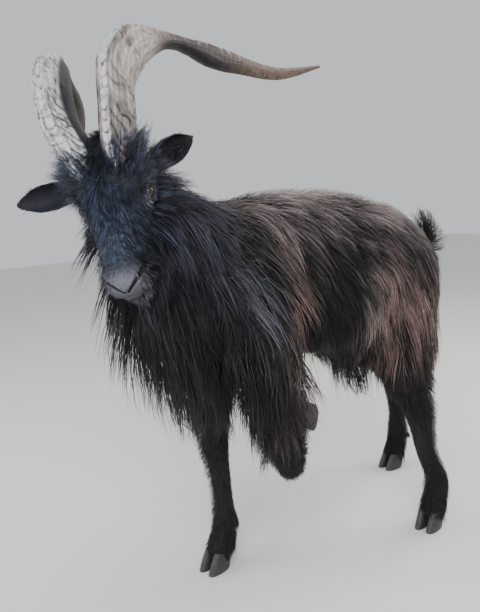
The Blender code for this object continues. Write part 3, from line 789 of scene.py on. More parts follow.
def horn_tones(m):
    """Weathered pale rough part, rosy brown ringed rest with painted shade on its underside, tan
    tip.
    """
    aged = smoothstep(0.29, 0.40, m.far)
    tip = smoothstep(0.60, 0.80, m.far / m.far[-1, 0])
    worn = np.clip(-0.12 + 3.6 * m.far + 0.90 * m.wander + 1.10 * m.grain, 0, 1) * 0.9
    tone = mixed(GREY, PALE, worn)
    tone = mixed(tone, ROSE, np.clip(0.30 + 0.9 * m.wander - 0.8 * m.grain, 0, 1) * 0.6)
    under_plate = np.clip(0.8 * (m.crack_phase % 1) ** 3, 0, 1) * (1 - m.band) * m.old
    tone = mixed(tone, GREY, under_plate * 0.7)
    tone = mixed(tone, CHALK, m.band * (0.75 + 0.5 * m.lumps + 0.6 * m.grain))
    if m.chalky:
        tone = mixed(tone, CHALK, np.clip(0.80 + 0.9 * m.lumps + 0.9 * m.grain, 0, 1))
    tone = mixed(tone, ROSE * 0.75, aged * (0.80 + 0.5 * m.stripes))
    # Painted shade: brown, then near black, over the horn's lower, back side beyond the bend.
    shade = smoothstep(-0.95, -0.40, -m.c + 0.80 * m.stripes + 0.25 * m.wander)
    tone = mixed(tone, BROWN, aged * np.clip(shade * 1.3, 0, 1))
    underside = smoothstep(-0.75, -0.10, -m.c + 0.75 * m.stripes)
    tone = mixed(tone, SMOKE, aged * underside * (1 - 0.55 * tip))
    tanned = tip * bell(m.s - 0.2, 0.9) * smoothstep(-0.5, 0.4, m.stripes + 0.3)
    tone = mixed(tone, TAN, tanned * 0.8)
    tone = mixed(tone, BROWN, tip * bell(m.c - 0.1, 0.16) * 0.8)
    inky = INKY * (1 + 0.8 * m.grain[..., None])
    # The dark inner face, which on the right horn also holds the painted shade of its back.
    dark_face_and_back_shade = mixed(inky, BROWN * 0.5, aged * (0.6 + 0.8 * m.stripes))
    tone = mixed(tone, dark_face_and_back_shade, m.inner * (1 - 0.5 * tip))
    lines = np.clip(m.notch * 0.95 + m.groove * 0.60, 0, 1) * m.old * m.rough
    tone = mixed(tone, SMOKE, lines)
    tone = mixed(tone, SMOKE, np.clip(m.crack * 1.4, 0, 0.95) * (1 - 0.7 * aged))
    tone = mixed(tone, SMOKE, np.clip(m.edges * 1.1, 0, 0.95))
    return mixed(tone, GREY, np.clip(bell(m.bark, 0.05) * 1.2, 0, 1) * m.flaking * 0.9)


def horn(side_name, mirror):
    """A keeled horn with scales down its front edge, slanting cracks and a smooth tip."""
    centres, sides, fronts, sizes, reach = horn_rings(side_name, mirror)
    angle = np.linspace(-math.pi, math.pi, HORN_SIDES, endpoint=False)
    c, s = np.cos(angle), np.sin(angle)
    swell = (np.abs(c) ** HORN_FULLNESS + np.abs(s) ** HORN_FULLNESS) ** (-1 / HORN_FULLNESS)
    narrow = 1 - KEEL_NARROWER * np.clip(c, 0, 1) ** 2
    across = (sizes[:, :1] * (s * swell * narrow))[..., None] * sides[:, None]
    hollow = 1 - ridge(reach, *HOLLOW)[:, None] * (c < 0)
    deep = (sizes[:, 1:] * (c * swell) * hollow)[..., None] * fronts[:, None]
    offset = across + deep
    thick = np.linalg.norm(offset, axis=2, keepdims=True)
    marks = horn_marks(side_name, centres[:, None] + offset, angle, reach, sizes)
    raised = 1 + horn_relief(marks)[..., None] / np.maximum(thick, 0.003)
    points = centres[:, None] + offset * raised
    obj = closed_body("ridged_horn_" + side_name, [[Vector(p) for p in ring] for ring in points])
    colour_points(obj.data, "tone", np.clip(horn_tones(marks), 0, 1).reshape(-1, 3))
    places = np.stack(np.broadcast_arrays(marks.far, angle[None] * HORN_WIDE[1]), axis=2)
    map_points(obj.data, "grain", places.reshape(-1, 2))
    return obj


# ---- eyes ----------------------------------------------------------------------------------
IRIS = 0.0104
PUPIL = (0.0060, 0.0017)    # half length and half height of the slot
EYE_RINGS = 48
EYE_SIDES = 64
CORNEA = (0.0012, 0.55)     # how far it bulges, and its reach in radians
IRIS_TONE = (0.034, 0.019, 0.010)
PUPIL_TONE = (0.002, 0.002, 0.003)
BALL_TONE = (0.020, 0.013, 0.010)


def eye(side_name, side):
    """An eyeball with a raised cornea, an amber iris and a level slot of a pupil."""
    outwards = head_direction(*eye_axes(side)[2])
    centre = in_head(*eye_middle(side))
    level = UP.cross(outwards).normalized()
    rise = outwards.cross(level)
    rings, tones = [], []
    for i in range(1, EYE_RINGS + 1):
        polar = math.pi * (i / (EYE_RINGS + 1)) ** 1.3
        bulge = EYE_RADIUS + CORNEA[0] * math.exp(-(polar / CORNEA[1]) ** 2)
        ring = []
        for k in range(EYE_SIDES):
            turn = 2 * math.pi * k / EYE_SIDES
            x, y = math.cos(turn) * math.sin(polar), math.sin(turn) * math.sin(polar)
            ring.append(centre + (level * x + rise * y + outwards * math.cos(polar)) * bulge)
            tones.append(iris_tone(x * EYE_RADIUS, y * EYE_RADIUS, turn))
        rings.append(ring)
    obj = closed_body("eyeball_" + side_name, rings)
    colour_points(obj.data, "tone", np.array(tones))
    return obj


def iris_tone(x, y, turn):
    spread = math.hypot(x, y)
    if (abs(x) / PUPIL[0]) ** 3 + (abs(y) / PUPIL[1]) ** 3 < 1:
        return PUPIL_TONE
    if spread > IRIS:
        return BALL_TONE
    rays = 0.75 + 0.25 * math.sin(turn * 37) * math.sin(turn * 23 + 1)
    edge = 1 - 0.75 * max(0.0, spread / IRIS - 0.55) / 0.45
    return tuple(part * rays * edge for part in IRIS_TONE)


# ---- hooves --------------------------------------------------------------------------------
CLAW_OFFSET = 0.0150        # from the foot's midline to a claw's
CLAW_HALF = 0.0140
CLAW_SLOPE = 0.30           # how far the claw leans back as it rises
# (height, share of the half width, reach forwards, reach back)
CLAW_ROWS = [(0.0000, 0.97, 0.0350, 0.0250), (0.0020, 1.00, 0.0360, 0.0260),
             (0.0120, 0.99, 0.0350, 0.0258), (0.0240, 0.95, 0.0325, 0.0250),
             (0.0360, 0.88, 0.0290, 0.0232), (0.0460, 0.80, 0.0255, 0.0215)]
CLAW_SIDES = 40
CLAW_FULLNESS = 2.3         # of its section: 2 is an ellipse
CLAW_RING = (0.022, 0.0048)             # depth of a growth ring as a share, and their spacing
INNER_FLATTER = 0.88
CLAW_LIGHT = 0.026
CLAW_MOTTLED = 0.020
SOLE_LIGHTER = (0.018, 0.006)           # at the sole's edge, and how high that reaches
CLAW_TINT = (1.05, 1, 0.93)


def foot_places():
    places = {}
    for leg_name, (sole, heading) in FEET.items():
        turn = Matrix.Rotation(math.radians(heading), 4, "Z")
        places[leg_name] = Matrix.Translation(sole) @ turn
    flexed = Matrix.Rotation(math.radians(LIFTED_FLEX), 4, "Y")
    places["front_left"] = Matrix.Translation(LIFTED_SOLE) @ flexed
    return places


def claw(name, side, place):
    """One half of a cloven hoof: a ringed wall over a flat sole, flatter on its inner face."""
    rings, tones = [], []
    for height, wide, front, back in filled_in(CLAW_ROWS, 5):
        ring = []
        for k in range(CLAW_SIDES):
            angle = 2 * math.pi * k / CLAW_SIDES
            c, s = math.cos(angle), math.sin(angle)
            swell = (abs(c) ** CLAW_FULLNESS + abs(s) ** CLAW_FULLNESS) ** (-1 / CLAW_FULLNESS)
            ringed = 0.5 + 0.5 * math.cos(2 * math.pi * height / CLAW_RING[1] + c)
            groove = 1 - CLAW_RING[0] * ringed
            inner = INNER_FLATTER if s * side < 0 else 1.0
            x = (front if c > 0 else back) * c * swell * groove - CLAW_SLOPE * height
            y = side * CLAW_OFFSET + CLAW_HALF * wide * s * swell * groove * inner
            ring.append(place @ Vector((x, y, height)))
            grain = noise.noise(Vector((x * 60, y * 60, height * 420 + side)))
            low = SOLE_LIGHTER[0] * math.exp(-height / SOLE_LIGHTER[1])
            light = CLAW_LIGHT + CLAW_MOTTLED * grain + low
            tones.append([light * part for part in CLAW_TINT])
        rings.append(ring)
    obj = closed_body(name, rings)
    colour_points(obj.data, "tone", np.clip(np.array(tones), 0.01, 1))
    return obj


# (distance from its root, half width)
DEWCLAW = [(0.0000, 0.0052), (0.0050, 0.0066), (0.0110, 0.0056), (0.0160, 0.0030), (0.0180, 0.0008)]
DEWCLAW_PLACE = (-0.0600, 0.0135, 0.0960)      # behind the fetlock, from the middle of the sole
DEWCLAW_AIM = (-0.45, 0.10, -0.90)
DEWCLAW_TONE = 0.022


def dewclaws(name, place):
    """The two small blunt horns behind the fetlock, joined as one piece."""
    shape = bmesh.new()
    for side in (1, -1):
        root, aim = (Vector((x, y * side, z)) for x, y, z in (DEWCLAW_PLACE, DEWCLAW_AIM))
        aim.normalize()
        stations = [(place @ (root + aim * far), wide, wide, wide) for far, wide in DEWCLAW]
        nub = loft("nub", stations, place.to_3x3() @ LEFT, steps=3, sides=16)
        shape.from_mesh(nub.data)
        bpy.data.objects.remove(nub, do_unlink=True)
    obj = new_object(name, shape)
    colour_points(obj.data, "tone", np.full((len(obj.data.vertices), 3), DEWCLAW_TONE))
    return obj


# ---- how the coat lies ---------------------------------------------------------------------
# On both flanks: place, lie (forwards, outwards, upwards), length, lift off the skin.
BODY_COMB = [
    ((0.620, 0.015, 0.840), (-0.80, 0.40, -0.10), 0.090, 0.62),  # withers
    ((0.480, 0.015, 0.838), (-0.85, 0.40, -0.20), 0.080, 0.42),  # back
    ((0.320, 0.015, 0.835), (-0.85, 0.40, -0.20), 0.078, 0.42),
    ((0.170, 0.015, 0.812), (-0.80, 0.35, -0.35), 0.072, 0.38),  # loin
    ((0.060, 0.020, 0.765), (-0.70, 0.30, -0.55), 0.060, 0.32),  # croup
    ((-0.020, 0.035, 0.700), (-0.45, 0.30, -0.85), 0.055, 0.28),
    ((-0.060, 0.030, 0.600), (-0.25, 0.25, -0.95), 0.075, 0.25),  # buttock
    ((0.580, 0.090, 0.790), (-0.60, 0.25, -0.75), 0.095, 0.28),  # upper flank
    ((0.420, 0.105, 0.770), (-0.70, 0.20, -0.65), 0.090, 0.28),
    ((0.260, 0.100, 0.760), (-0.70, 0.15, -0.65), 0.085, 0.28),
    ((0.110, 0.085, 0.720), (-0.55, 0.15, -0.80), 0.080, 0.25),
    ((0.480, 0.128, 0.680), (-0.55, 0.05, -0.85), 0.095, 0.22),  # middle of the flank
    ((0.340, 0.128, 0.660), (-0.55, 0.00, -0.85), 0.090, 0.22),
    ((0.210, 0.115, 0.650), (-0.40, 0.00, -0.90), 0.085, 0.22),
    ((0.450, 0.105, 0.580), (-0.40, -0.15, -0.90), 0.090, 0.24),  # lower flank
    ((0.300, 0.105, 0.550), (-0.30, -0.15, -0.95), 0.110, 0.26),
    ((0.450, 0.020, 0.548), (-0.60, 0.00, -0.75), 0.075, 0.35),  # belly
    ((0.310, 0.020, 0.520), (-0.35, 0.00, -0.95), 0.100, 0.45),
    ((0.240, 0.012, 0.480), (-0.05, 0.12, -1.00), 0.142, 0.60),  # sheath
    ((0.170, 0.015, 0.510), (-0.05, 0.00, -1.00), 0.170, 0.50),
    ((0.660, 0.110, 0.740), (-0.35, 0.20, -0.90), 0.125, 0.25),  # shoulder
    ((0.620, 0.120, 0.660), (-0.38, 0.10, -0.92), 0.140, 0.22),
    ((0.590, 0.120, 0.590), (-0.40, 0.05, -0.92), 0.140, 0.22),  # elbow
    ((0.220, 0.110, 0.640), (0.35, 0.30, -0.85), 0.085, 0.35),  # thigh
    ((0.250, 0.110, 0.570), (-0.10, 0.25, -0.97), 0.110, 0.35),
    ((0.190, 0.100, 0.510), (-0.12, 0.05, -1.00), 0.130, 0.35),
    ((0.120, 0.125, 0.620), (-0.20, 0.20, -0.95), 0.100, 0.30),
    ((0.040, 0.095, 0.600), (-0.40, 0.20, -0.90), 0.095, 0.25),
    ((0.725, 0.040, 0.880), (-0.65, 0.55, -0.30), 0.105, 0.55),  # crest
    ((0.740, 0.070, 0.810), (-0.30, 0.30, -0.90), 0.140, 0.25),  # side of the neck
    ((0.800, 0.020, 0.780), (0.15, 0.25, -0.95), 0.160, 0.35),  # throat
    ((0.800, 0.040, 0.690), (0.10, 0.22, -0.97), 0.175, 0.38),  # chest
    ((0.790, 0.050, 0.620), (-0.02, 0.18, -0.98), 0.170, 0.34),
    ((0.740, 0.060, 0.560), (-0.15, 0.10, -1.00), 0.160, 0.26),  # brisket
    ((0.690, 0.025, 0.510), (-0.10, 0.04, -1.00), 0.175, 0.12),
    ((-0.092, 0.012, 0.660), (-0.55, 0.45, -0.35), 0.055, 0.55),  # tail
    ((-0.108, 0.010, 0.685), (-0.45, 0.50, 0.20), 0.055, 0.60),
    ((-0.110, 0.008, 0.725), (-0.15, 0.45, 0.85), 0.062, 0.60),
    ((-0.090, 0.004, 0.758), (0.35, 0.15, 0.90), 0.045, 0.30),
]
# The same in the head's own frame, as along, out and side.
HEAD_COMB = [
    ((-0.024, -0.030, 0.000), (0.25, 0.90, 0.05), 0.024, 0.40),  # crown
    ((-0.020, -0.070, 0.022), (-0.25, -0.80, 0.40), 0.040, 0.40),
    ((-0.012, -0.052, 0.052), (-0.60, -0.20, 0.70), 0.036, 0.50),  # behind the horn
    ((0.004, 0.000, 0.004), (0.95, 0.15, 0.05), 0.018, 0.25),  # between the horns
    ((0.054, 0.004, 0.030), (-0.90, 0.40, 0.05), 0.056, 0.65),  # before the horn's root
    ((0.066, 0.005, 0.014), (-0.80, 0.55, 0.05), 0.046, 0.60),
    ((0.046, -0.004, 0.060), (-0.85, 0.30, 0.30), 0.052, 0.70),
    ((0.076, 0.006, 0.034), (0.10, 0.75, 0.30), 0.026, 0.50),
    ((0.020, -0.050, 0.066), (-0.75, 0.10, 0.60), 0.050, 0.80),
    ((0.050, 0.004, 0.010), (0.75, 0.40, 0.20), 0.034, 0.55),  # forehead
    ((0.030, -0.012, 0.060), (-0.25, 0.25, 0.95), 0.048, 0.85),  # beside the horn
    ((0.014, -0.040, 0.060), (-0.40, 0.05, 0.90), 0.056, 0.85),
    ((0.018, -0.084, 0.050), (-0.10, -0.85, 0.60), 0.054, 0.50),
    ((0.062, -0.002, 0.040), (0.45, 0.30, 0.75), 0.028, 0.50),  # brow
    ((0.084, 0.008, 0.008), (0.95, 0.20, 0.25), 0.024, 0.36),  # bridge
    ((0.110, 0.002, 0.030), (0.80, 0.10, 0.60), 0.022, 0.36),
    ((0.150, 0.000, 0.006), (0.85, 0.20, 0.45), 0.0165, 0.30),
    ((0.190, -0.004, 0.006), (0.75, 0.15, 0.55), 0.0110, 0.25),
    ((0.222, -0.008, 0.008), (0.60, 0.00, 0.75), 0.0055, 0.18),  # over the nose
    ((0.250, -0.056, 0.024), (0.70, -0.65, 0.30), 0.0050, 0.18),  # lips
    ((0.262, -0.070, 0.010), (0.80, -0.60, 0.10), 0.0090, 0.25),
    ((0.096, -0.049, 0.066), (0.60, -0.60, 0.30), 0.0050, 0.12),  # round the eye
    ((0.084, -0.048, 0.066), (-0.50, -0.30, 0.80), 0.0060, 0.18),
    ((0.098, -0.034, 0.062), (0.30, 0.90, 0.30), 0.0060, 0.18),
    ((0.100, -0.062, 0.064), (0.50, -0.90, 0.10), 0.0060, 0.18),
    ((0.110, -0.046, 0.060), (0.90, -0.30, 0.30), 0.0080, 0.22),
    ((0.124, -0.040, 0.054), (0.75, -0.45, 0.35), 0.019, 0.36),  # under the eye
    ((0.096, -0.064, 0.060), (0.45, -0.85, 0.30), 0.028, 0.40),  # behind the eye
    ((0.072, -0.044, 0.062), (-0.15, -0.50, 0.85), 0.028, 0.50),
    ((0.150, -0.040, 0.040), (0.70, -0.60, 0.30), 0.021, 0.34),  # side of the nose
    ((0.190, -0.045, 0.036), (0.75, -0.55, 0.25), 0.0135, 0.28),
    ((0.218, -0.050, 0.038), (0.70, -0.60, 0.25), 0.0090, 0.24),
    ((0.110, -0.085, 0.048), (0.42, -0.50, 0.76), 0.062, 0.80),  # cheek
    ((0.050, -0.085, 0.052), (0.40, -0.50, 0.78), 0.066, 0.80),
    ((0.160, -0.088, 0.032), (0.60, -0.50, 0.62), 0.076, 0.75),  # jaw
    ((0.205, -0.086, 0.026), (0.80, -0.50, 0.38), 0.086, 0.50),  # beard
    ((0.238, -0.086, 0.006), (0.95, -0.40, 0.08), 0.095, 0.30),
    ((0.120, -0.112, 0.010), (0.80, -0.60, 0.15), 0.120, 0.35),  # under the jaw
    ((0.070, -0.120, 0.040), (0.55, -0.55, 0.62), 0.115, 0.55),
]
# Strokes that one side alone has, written as the body's: the throat's right, behind the lifted
# leg's elbow, and down its front.
ONE_SIDED_COMB = [
    ((0.785, -0.060, 0.830), (0.65, -0.40, -0.65), 0.130, 0.80),
    ((0.805, -0.050, 0.770), (0.65, -0.32, -0.70), 0.155, 0.80),
    ((0.795, -0.070, 0.720), (0.50, -0.30, -0.82), 0.155, 0.70),
    ((0.575, 0.120, 0.570), (-0.70, 0.10, -0.74), 0.150, 0.48),
    ((0.560, 0.120, 0.500), (-0.66, 0.12, -0.76), 0.140, 0.60),
    ((0.650, 0.110, 0.480), (0.25, 0.02, -0.97), 0.125, 0.50),
    ((0.630, 0.112, 0.430), (0.32, 0.02, -0.95), 0.110, 0.60),
    ((0.612, 0.115, 0.380), (0.35, 0.02, -0.94), 0.080, 0.65),
]
# The same in the head's own frame: the right horn's foot, temple, cheek and jaw, which are fuller.
ONE_SIDED_HEAD_COMB = [
    ((0.058, 0.000, -0.042), (-0.92, 0.30, -0.10), 0.085, 0.60),
    ((0.044, -0.022, -0.066), (-0.80, 0.15, -0.45), 0.080, 0.75),
    ((0.062, -0.048, -0.064), (0.40, -0.05, -0.90), 0.050, 0.90),
    ((0.092, -0.066, -0.062), (0.52, -0.12, -0.85), 0.052, 0.90),
    ((0.122, -0.060, -0.056), (0.62, -0.12, -0.76), 0.046, 0.85),
    ((0.152, -0.060, -0.046), (0.72, -0.12, -0.66), 0.042, 0.75),
    ((0.190, -0.064, -0.040), (0.82, -0.12, -0.52), 0.034, 0.60),
]
# The turned head bunches the longer hair of the right temple, cheek and jaw, which lie this far
# out: it turns out and away from the face, and above the jaw it is longer.
BUNCHED_OUT = (-0.125, -0.042)
BUNCHED_FROM = 0.020
BUNCH_TURN = (0.25, 0.15)
BUNCH_LONGER = 1.6
JAW_TOP = -0.080
# Down a leg the hair shortens with height above the floor: (height, length, lift).
LEG_HAIR = [(0.010, 0.0220, 0.30), (0.050, 0.0360, 0.34), (0.100, 0.0240, 0.28),
            (0.200, 0.0140, 0.20), (0.280, 0.0160, 0.22), (0.340, 0.0240, 0.22),
            (0.400, 0.0420, 0.24), (0.470, 0.0850, 0.24), (0.560, 0.1050, 0.24),
            (0.800, 0.1050, 0.22)]
FRINGE = 1.25               # the lifted foreleg's hair, against that of a standing leg
LEG_TOP = 0.60              # over this the legs' hair lies as the body's comb says
CANNON_HAIR_AT = 0.20       # the lifted cannon's hair is as at this height
# Round a leg: how much longer the hair is in front, behind and at the sides.
LEG_LONGER = (0.85, 1.25, 1.0, 1.0)
EAR_HAIR = (0.0085, 0.16)
EAR_STROKES = (0.15, 0.35, 0.55, 0.75, 0.95)
COMB_BLUR = 0.018           # how far one stroke of the comb blends into the next
CHUNK = 20000               # points combed at a time


def comb():
    """Every stroke as arrays: places, lies, lengths and lifts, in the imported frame."""
    strokes = []
    for (x, y, z), (ahead, outwards, upwards), length, lift in BODY_COMB:
        for side in (1, -1):
            lie = Vector((ahead, outwards * side, upwards))
            strokes.append((drawn(x, y * side, z), lie, length, lift))
    for (along, out, across), lie, length, lift in HEAD_COMB:
        for side in (1, -1):
            heading = head_direction(lie[0], lie[1], lie[2] * side)
            if side < 0 and length > BUNCHED_FROM and BUNCHED_OUT[0] < out < BUNCHED_OUT[1]:
                heading = heading.normalized() + OUT * BUNCH_TURN[0] - SIDE * BUNCH_TURN[1]
                length *= 1.0 if out < JAW_TOP else BUNCH_LONGER
            strokes.append((in_head(along, out, across * side), heading, length, lift))
    for place, lie, length, lift in ONE_SIDED_COMB:
        strokes.append((drawn(*place), Vector(lie), length, lift))
    for place, lie, length, lift in ONE_SIDED_HEAD_COMB:
        strokes.append((in_head(*place), head_direction(*lie), length, lift))
    strokes += leg_strokes() + ear_strokes()
    places, lies, lengths, lifts = zip(*strokes)
    lies = np.array([lie.normalized() for lie in lies])
    return np.array(places), lies, np.array(lengths), np.array(lifts)


def leg_strokes():
    heights, lengths, lifts = zip(*LEG_HAIR)
    strokes = []
    limbs = [(stations_of(rows) + standing_foot(name), 1.0) for name, rows in LEGS.items()]
    limbs += [(stations_of(LIFTED_LEG), FRINGE), (stations_of(LIFTED_CANNON), 0.0)]
    for stations, fringe in limbs:
        centres = [station[0] for station in stations]
        for i, (centre, wide, forward, back) in enumerate(stations):
            if centre.z > LEG_TOP:
                continue
            ahead = centres[min(i + 1, len(centres) - 1)] - centres[max(i - 1, 0)]
            ahead = ahead.normalized() * 0.8 - UP * 0.2 * fringe
            height = centre.z if fringe else CANNON_HAIR_AT
            length = np.interp(height, heights, lengths) * max(fringe, 1.0)
            lift = np.interp(height, heights, lifts)
            pushes = (FRONT * forward, FRONT * -back, LEFT * wide, LEFT * -wide)
            for push, longer in zip(pushes, LEG_LONGER):
                lie = ahead + push.normalized() * 0.06
                strokes.append((centre + push, lie, length * longer, lift))
    return strokes


def ear_strokes():
    strokes = []
    for side_name, (root, direction, _) in EARS.items():
        heading = head_direction(*direction).normalized()
        for t in EAR_STROKES:
            place = in_head(*root) + heading * EAR_LENGTH[side_name] * t
            strokes.append((place, heading, *EAR_HAIR))
    return strokes


def combed(points, strokes):
    """The lie, the length and the lift of the hair at each point."""
    places, lies, lengths, lifts = strokes
    lie = np.empty((len(points), 3))
    length = np.empty(len(points))
    lift = np.empty(len(points))
    for start in range(0, len(points), CHUNK):
        part = slice(start, start + CHUNK)
        gap = ((points[part, None] - places[None]) ** 2).sum(axis=2)
        weight = (gap + COMB_BLUR ** 2) ** -2.5
        weight /= weight.sum(axis=1, keepdims=True)
        lie[part] = weight @ lies
        length[part] = weight @ lengths
        lift[part] = weight @ lifts
    return unit(lie), length, lift


# ---- distances from the skin and from the coat's outer form ---------------------------------
CELL = 0.012
COARSE = 4                  # cells between the first, rough measurements
CLOSE = 0.075               # every cell is measured this near to the surface
MARGIN = 0.05
FLESH = ["head", "neck", "mane", "trunk", "tail", "leg_front_left", "leg_front_right",
         "leg_hind_left", "leg_hind_right", "ear_left", "ear_right"]


def signed_gap(tree, place):
    point = Vector(place)
    spot, normal, _, gap = tree.find_nearest(point)
    return gap if (point - spot).dot(normal) >= 0 else -gap


class Distances:
    """Signed distances from closed surfaces, read between the points of a grid."""

    def __init__(self, objects):
        shape = bmesh.new()
        for obj in objects:
            shape.from_mesh(obj.data)
        tree = BVHTree.FromBMesh(shape)
        shape.free()
        low, high = CAD_BOX
        self.low = np.array(low) - MARGIN
        blocks = np.ceil((np.array(high) + MARGIN - self.low) / (CELL * COARSE)).astype(int) + 1
        rough = np.empty(tuple(blocks))
        for at in np.ndindex(*blocks):
            rough[at] = signed_gap(tree, self.low + np.array(at) * CELL * COARSE)
        values = rough
        for axis, count in enumerate(blocks):
            fine = np.arange((count - 1) * COARSE + 1) / COARSE
            below = np.minimum(fine.astype(int), count - 2)
            share = (fine - below).reshape([-1 if i == axis else 1 for i in range(3)])
            values = values.take(below, axis) * (1 - share) + values.take(below + 1, axis) * share
        for at in np.argwhere(np.abs(values) < CLOSE):
            values[tuple(at)] = signed_gap(tree, self.low + at * CELL)
        self.values = values
        self.slopes = np.stack(np.gradient(values, CELL), axis=3)

    def read(self, points):
        """(distance, direction away from the surface) at each point."""
        place = (points - self.low) / CELL
        limit = np.array(self.values.shape) - 1.001
        place = np.clip(place, 0, limit)
        corner = place.astype(int)
        share = place - corner
        gap = np.zeros(len(points))
        slope = np.zeros((len(points), 3))
        for i, j, k in np.ndindex(2, 2, 2):
            weight = np.prod(np.where((i, j, k), share, 1 - share), axis=1)
            at = tuple((corner + (i, j, k)).T)
            gap += weight * self.values[at]
            slope += weight[:, None] * self.slopes[at]
        return gap, unit(slope)


# ---- markings, painted sheen and painted shade, shared by skin and coat --------------------
BLACK = np.array((0.0125, 0.0125, 0.0155))
SHADE_BLACK = np.array((0.0050, 0.0048, 0.0056))     # painted shade: belly and the legs' inner sides
BLUE_SHEEN = np.array((0.0104, 0.0144, 0.0285))       # painted blue sheen over the head's black
DUSK = np.array((0.108, 0.087, 0.085))         # the back's weathered grey-brown
RUST = np.array((0.105, 0.068, 0.060))
BLUE_GREY_HIGHLIGHT = np.array((0.040, 0.057, 0.095))        # painted blue-grey highlight on the face
STEEL = np.array((0.052, 0.055, 0.070))        # the shoulder's sheen
ASH = np.array((0.165, 0.166, 0.205))          # the nose and the rims of the eyes
# (place in the drawing, reach forwards, outwards and upwards, colour, strength)
BODY_MARKS_AND_LIGHT = [
    # Painted blue sheen on the neck.
    ((0.720, 0.060, 0.800), (0.130, 0.140, 0.160), BLUE_SHEEN, 0.30),
    ((0.460, 0.000, 0.860), (0.190, 0.130, 0.095), DUSK, 0.95),
    ((0.260, 0.000, 0.835), (0.180, 0.130, 0.105), DUSK, 0.95),
    ((0.100, 0.000, 0.790), (0.140, 0.125, 0.115), DUSK, 0.90),
    ((0.560, 0.090, 0.830), (0.090, 0.080, 0.070), DUSK, 0.60),
    ((0.660, 0.130, 0.690), (0.040, 0.090, 0.110), STEEL, 0.85),
    ((0.555, 0.140, 0.680), (0.045, 0.080, 0.120), RUST, 0.85),
    ((0.530, 0.140, 0.570), (0.050, 0.080, 0.110), RUST, 0.70),
    ((0.500, 0.130, 0.460), (0.050, 0.080, 0.090), RUST, 0.60),
    ((0.600, 0.130, 0.420), (0.080, 0.080, 0.060), RUST, 0.40),
    ((0.750, 0.100, 0.480), (0.080, 0.080, 0.100), DUSK, 0.30),
    ((0.305, 0.110, 0.640), (0.066, 0.090, 0.095), DUSK, 0.97),  # front of the thigh
    ((0.230, 0.120, 0.650), (0.065, 0.090, 0.080), RUST, 0.80),
    ((0.160, 0.130, 0.600), (0.050, 0.090, 0.080), RUST, 0.60),
    ((0.230, 0.120, 0.510), (0.060, 0.080, 0.070), RUST, 0.85),
    ((0.120, 0.140, 0.600), (0.070, 0.090, 0.090), RUST, 0.50),
    ((0.130, 0.150, 0.470), (0.060, 0.080, 0.090), RUST, 0.40),
    ((0.020, 0.120, 0.560), (0.070, 0.080, 0.110), RUST, 0.65),
    ((0.000, 0.090, 0.700), (0.080, 0.080, 0.090), DUSK, 0.40),
    ((0.420, 0.120, 0.610), (0.050, 0.080, 0.080), SHADE_BLACK, 0.80),  # painted shade: hollow of the flank, then the belly
    ((0.400, 0.000, 0.520), (0.180, 0.100, 0.060), SHADE_BLACK, 0.90),
    ((0.180, 0.000, 0.480), (0.160, 0.070, 0.120), SHADE_BLACK, 0.80),
    ((0.560, 0.120, 0.310), (0.060, 0.060, 0.045), SHADE_BLACK, 0.95),  # painted shade: the lifted knee
    ((0.470, 0.050, 0.380), (0.070, 0.060, 0.060), SHADE_BLACK, 0.95),
]
HEAD_MARKS_AND_SHEEN = [
    # Painted blue sheen over the head and ears.
    ((0.080, -0.030, 0.000), (0.150, 0.120, 0.140), BLUE_SHEEN, 0.95),
    ((0.040, -0.080, 0.150), (0.080, 0.080, 0.080), BLUE_SHEEN, 0.90),
    # Painted blue-grey highlight down the bridge, on the forehead and beside the horns.
    ((0.200, 0.000, 0.000), (0.050, 0.026, 0.026), BLUE_GREY_HIGHLIGHT, 0.90),
    ((0.150, -0.004, 0.010), (0.045, 0.030, 0.024), BLUE_GREY_HIGHLIGHT, 0.70),
    ((0.060, 0.000, 0.020), (0.030, 0.020, 0.030), BLUE_GREY_HIGHLIGHT, 0.25),
    ((0.020, -0.010, 0.062), (0.035, 0.040, 0.026), BLUE_GREY_HIGHLIGHT, 0.50),
    ((0.106, -0.046, 0.062), (0.011, 0.014, 0.014), ASH, 0.75),
    ((0.084, -0.036, 0.062), (0.007, 0.010, 0.012), ASH, 0.45),
    ((0.252, -0.030, 0.000), (0.022, 0.024, 0.036), ASH, 0.95),
    ((0.266, -0.058, 0.000), (0.018, 0.020, 0.030), ASH, 0.65),
]


def marks_and_painted_light(points):
    """The coat's colour at each point, its markings with painted sheen and shade, without its
    streaks, and how far it is from black.
    """
    colour = np.tile(BLACK, (len(points), 1))
    share = np.zeros(len(points))
    own = points - np.array(ORIGIN)
    own[:, 1] = np.abs(own[:, 1])
    for place, reach, tint, strength in BODY_MARKS_AND_LIGHT:
        near = strength * near_place(own, place, reach)
        colour = mixed(colour, tint, near)
        # Painted shade lowers how far a point is from black; every other mark raises it.
        share = share * (1 - near) if tint is SHADE_BLACK else share + near
    own = head_places(points)
    own[:, 2] = np.abs(own[:, 2])
    for place, reach, tint, strength in HEAD_MARKS_AND_SHEEN:
        near = strength * near_place(own, place, reach)
        colour = mixed(colour, tint, near)
        share = share + near
    return colour, np.clip(share, 0, 1)


# ---- tufts ---------------------------------------------------------------------------------
PATCH = 0.003               # a tuft's patch on the skin's unwrap
TRIANGLES = 1_470_000       # of all tufts together
PIECE_TRIANGLES = 190_000   # of one piece of the coat, at most
# Each kind of tuft: its hair is shorter than this, rings before the tip.
KINDS = {"short": (0.016, 2), "middle": (0.048, 3), "long": (0.26, 4)}
# How the tufts of each kind gather: tufts in a lock, and how far their tips draw together.
LOCKS = {"short": (5, 0.35), "middle": (8, 0.55), "long": (12, 0.70)}
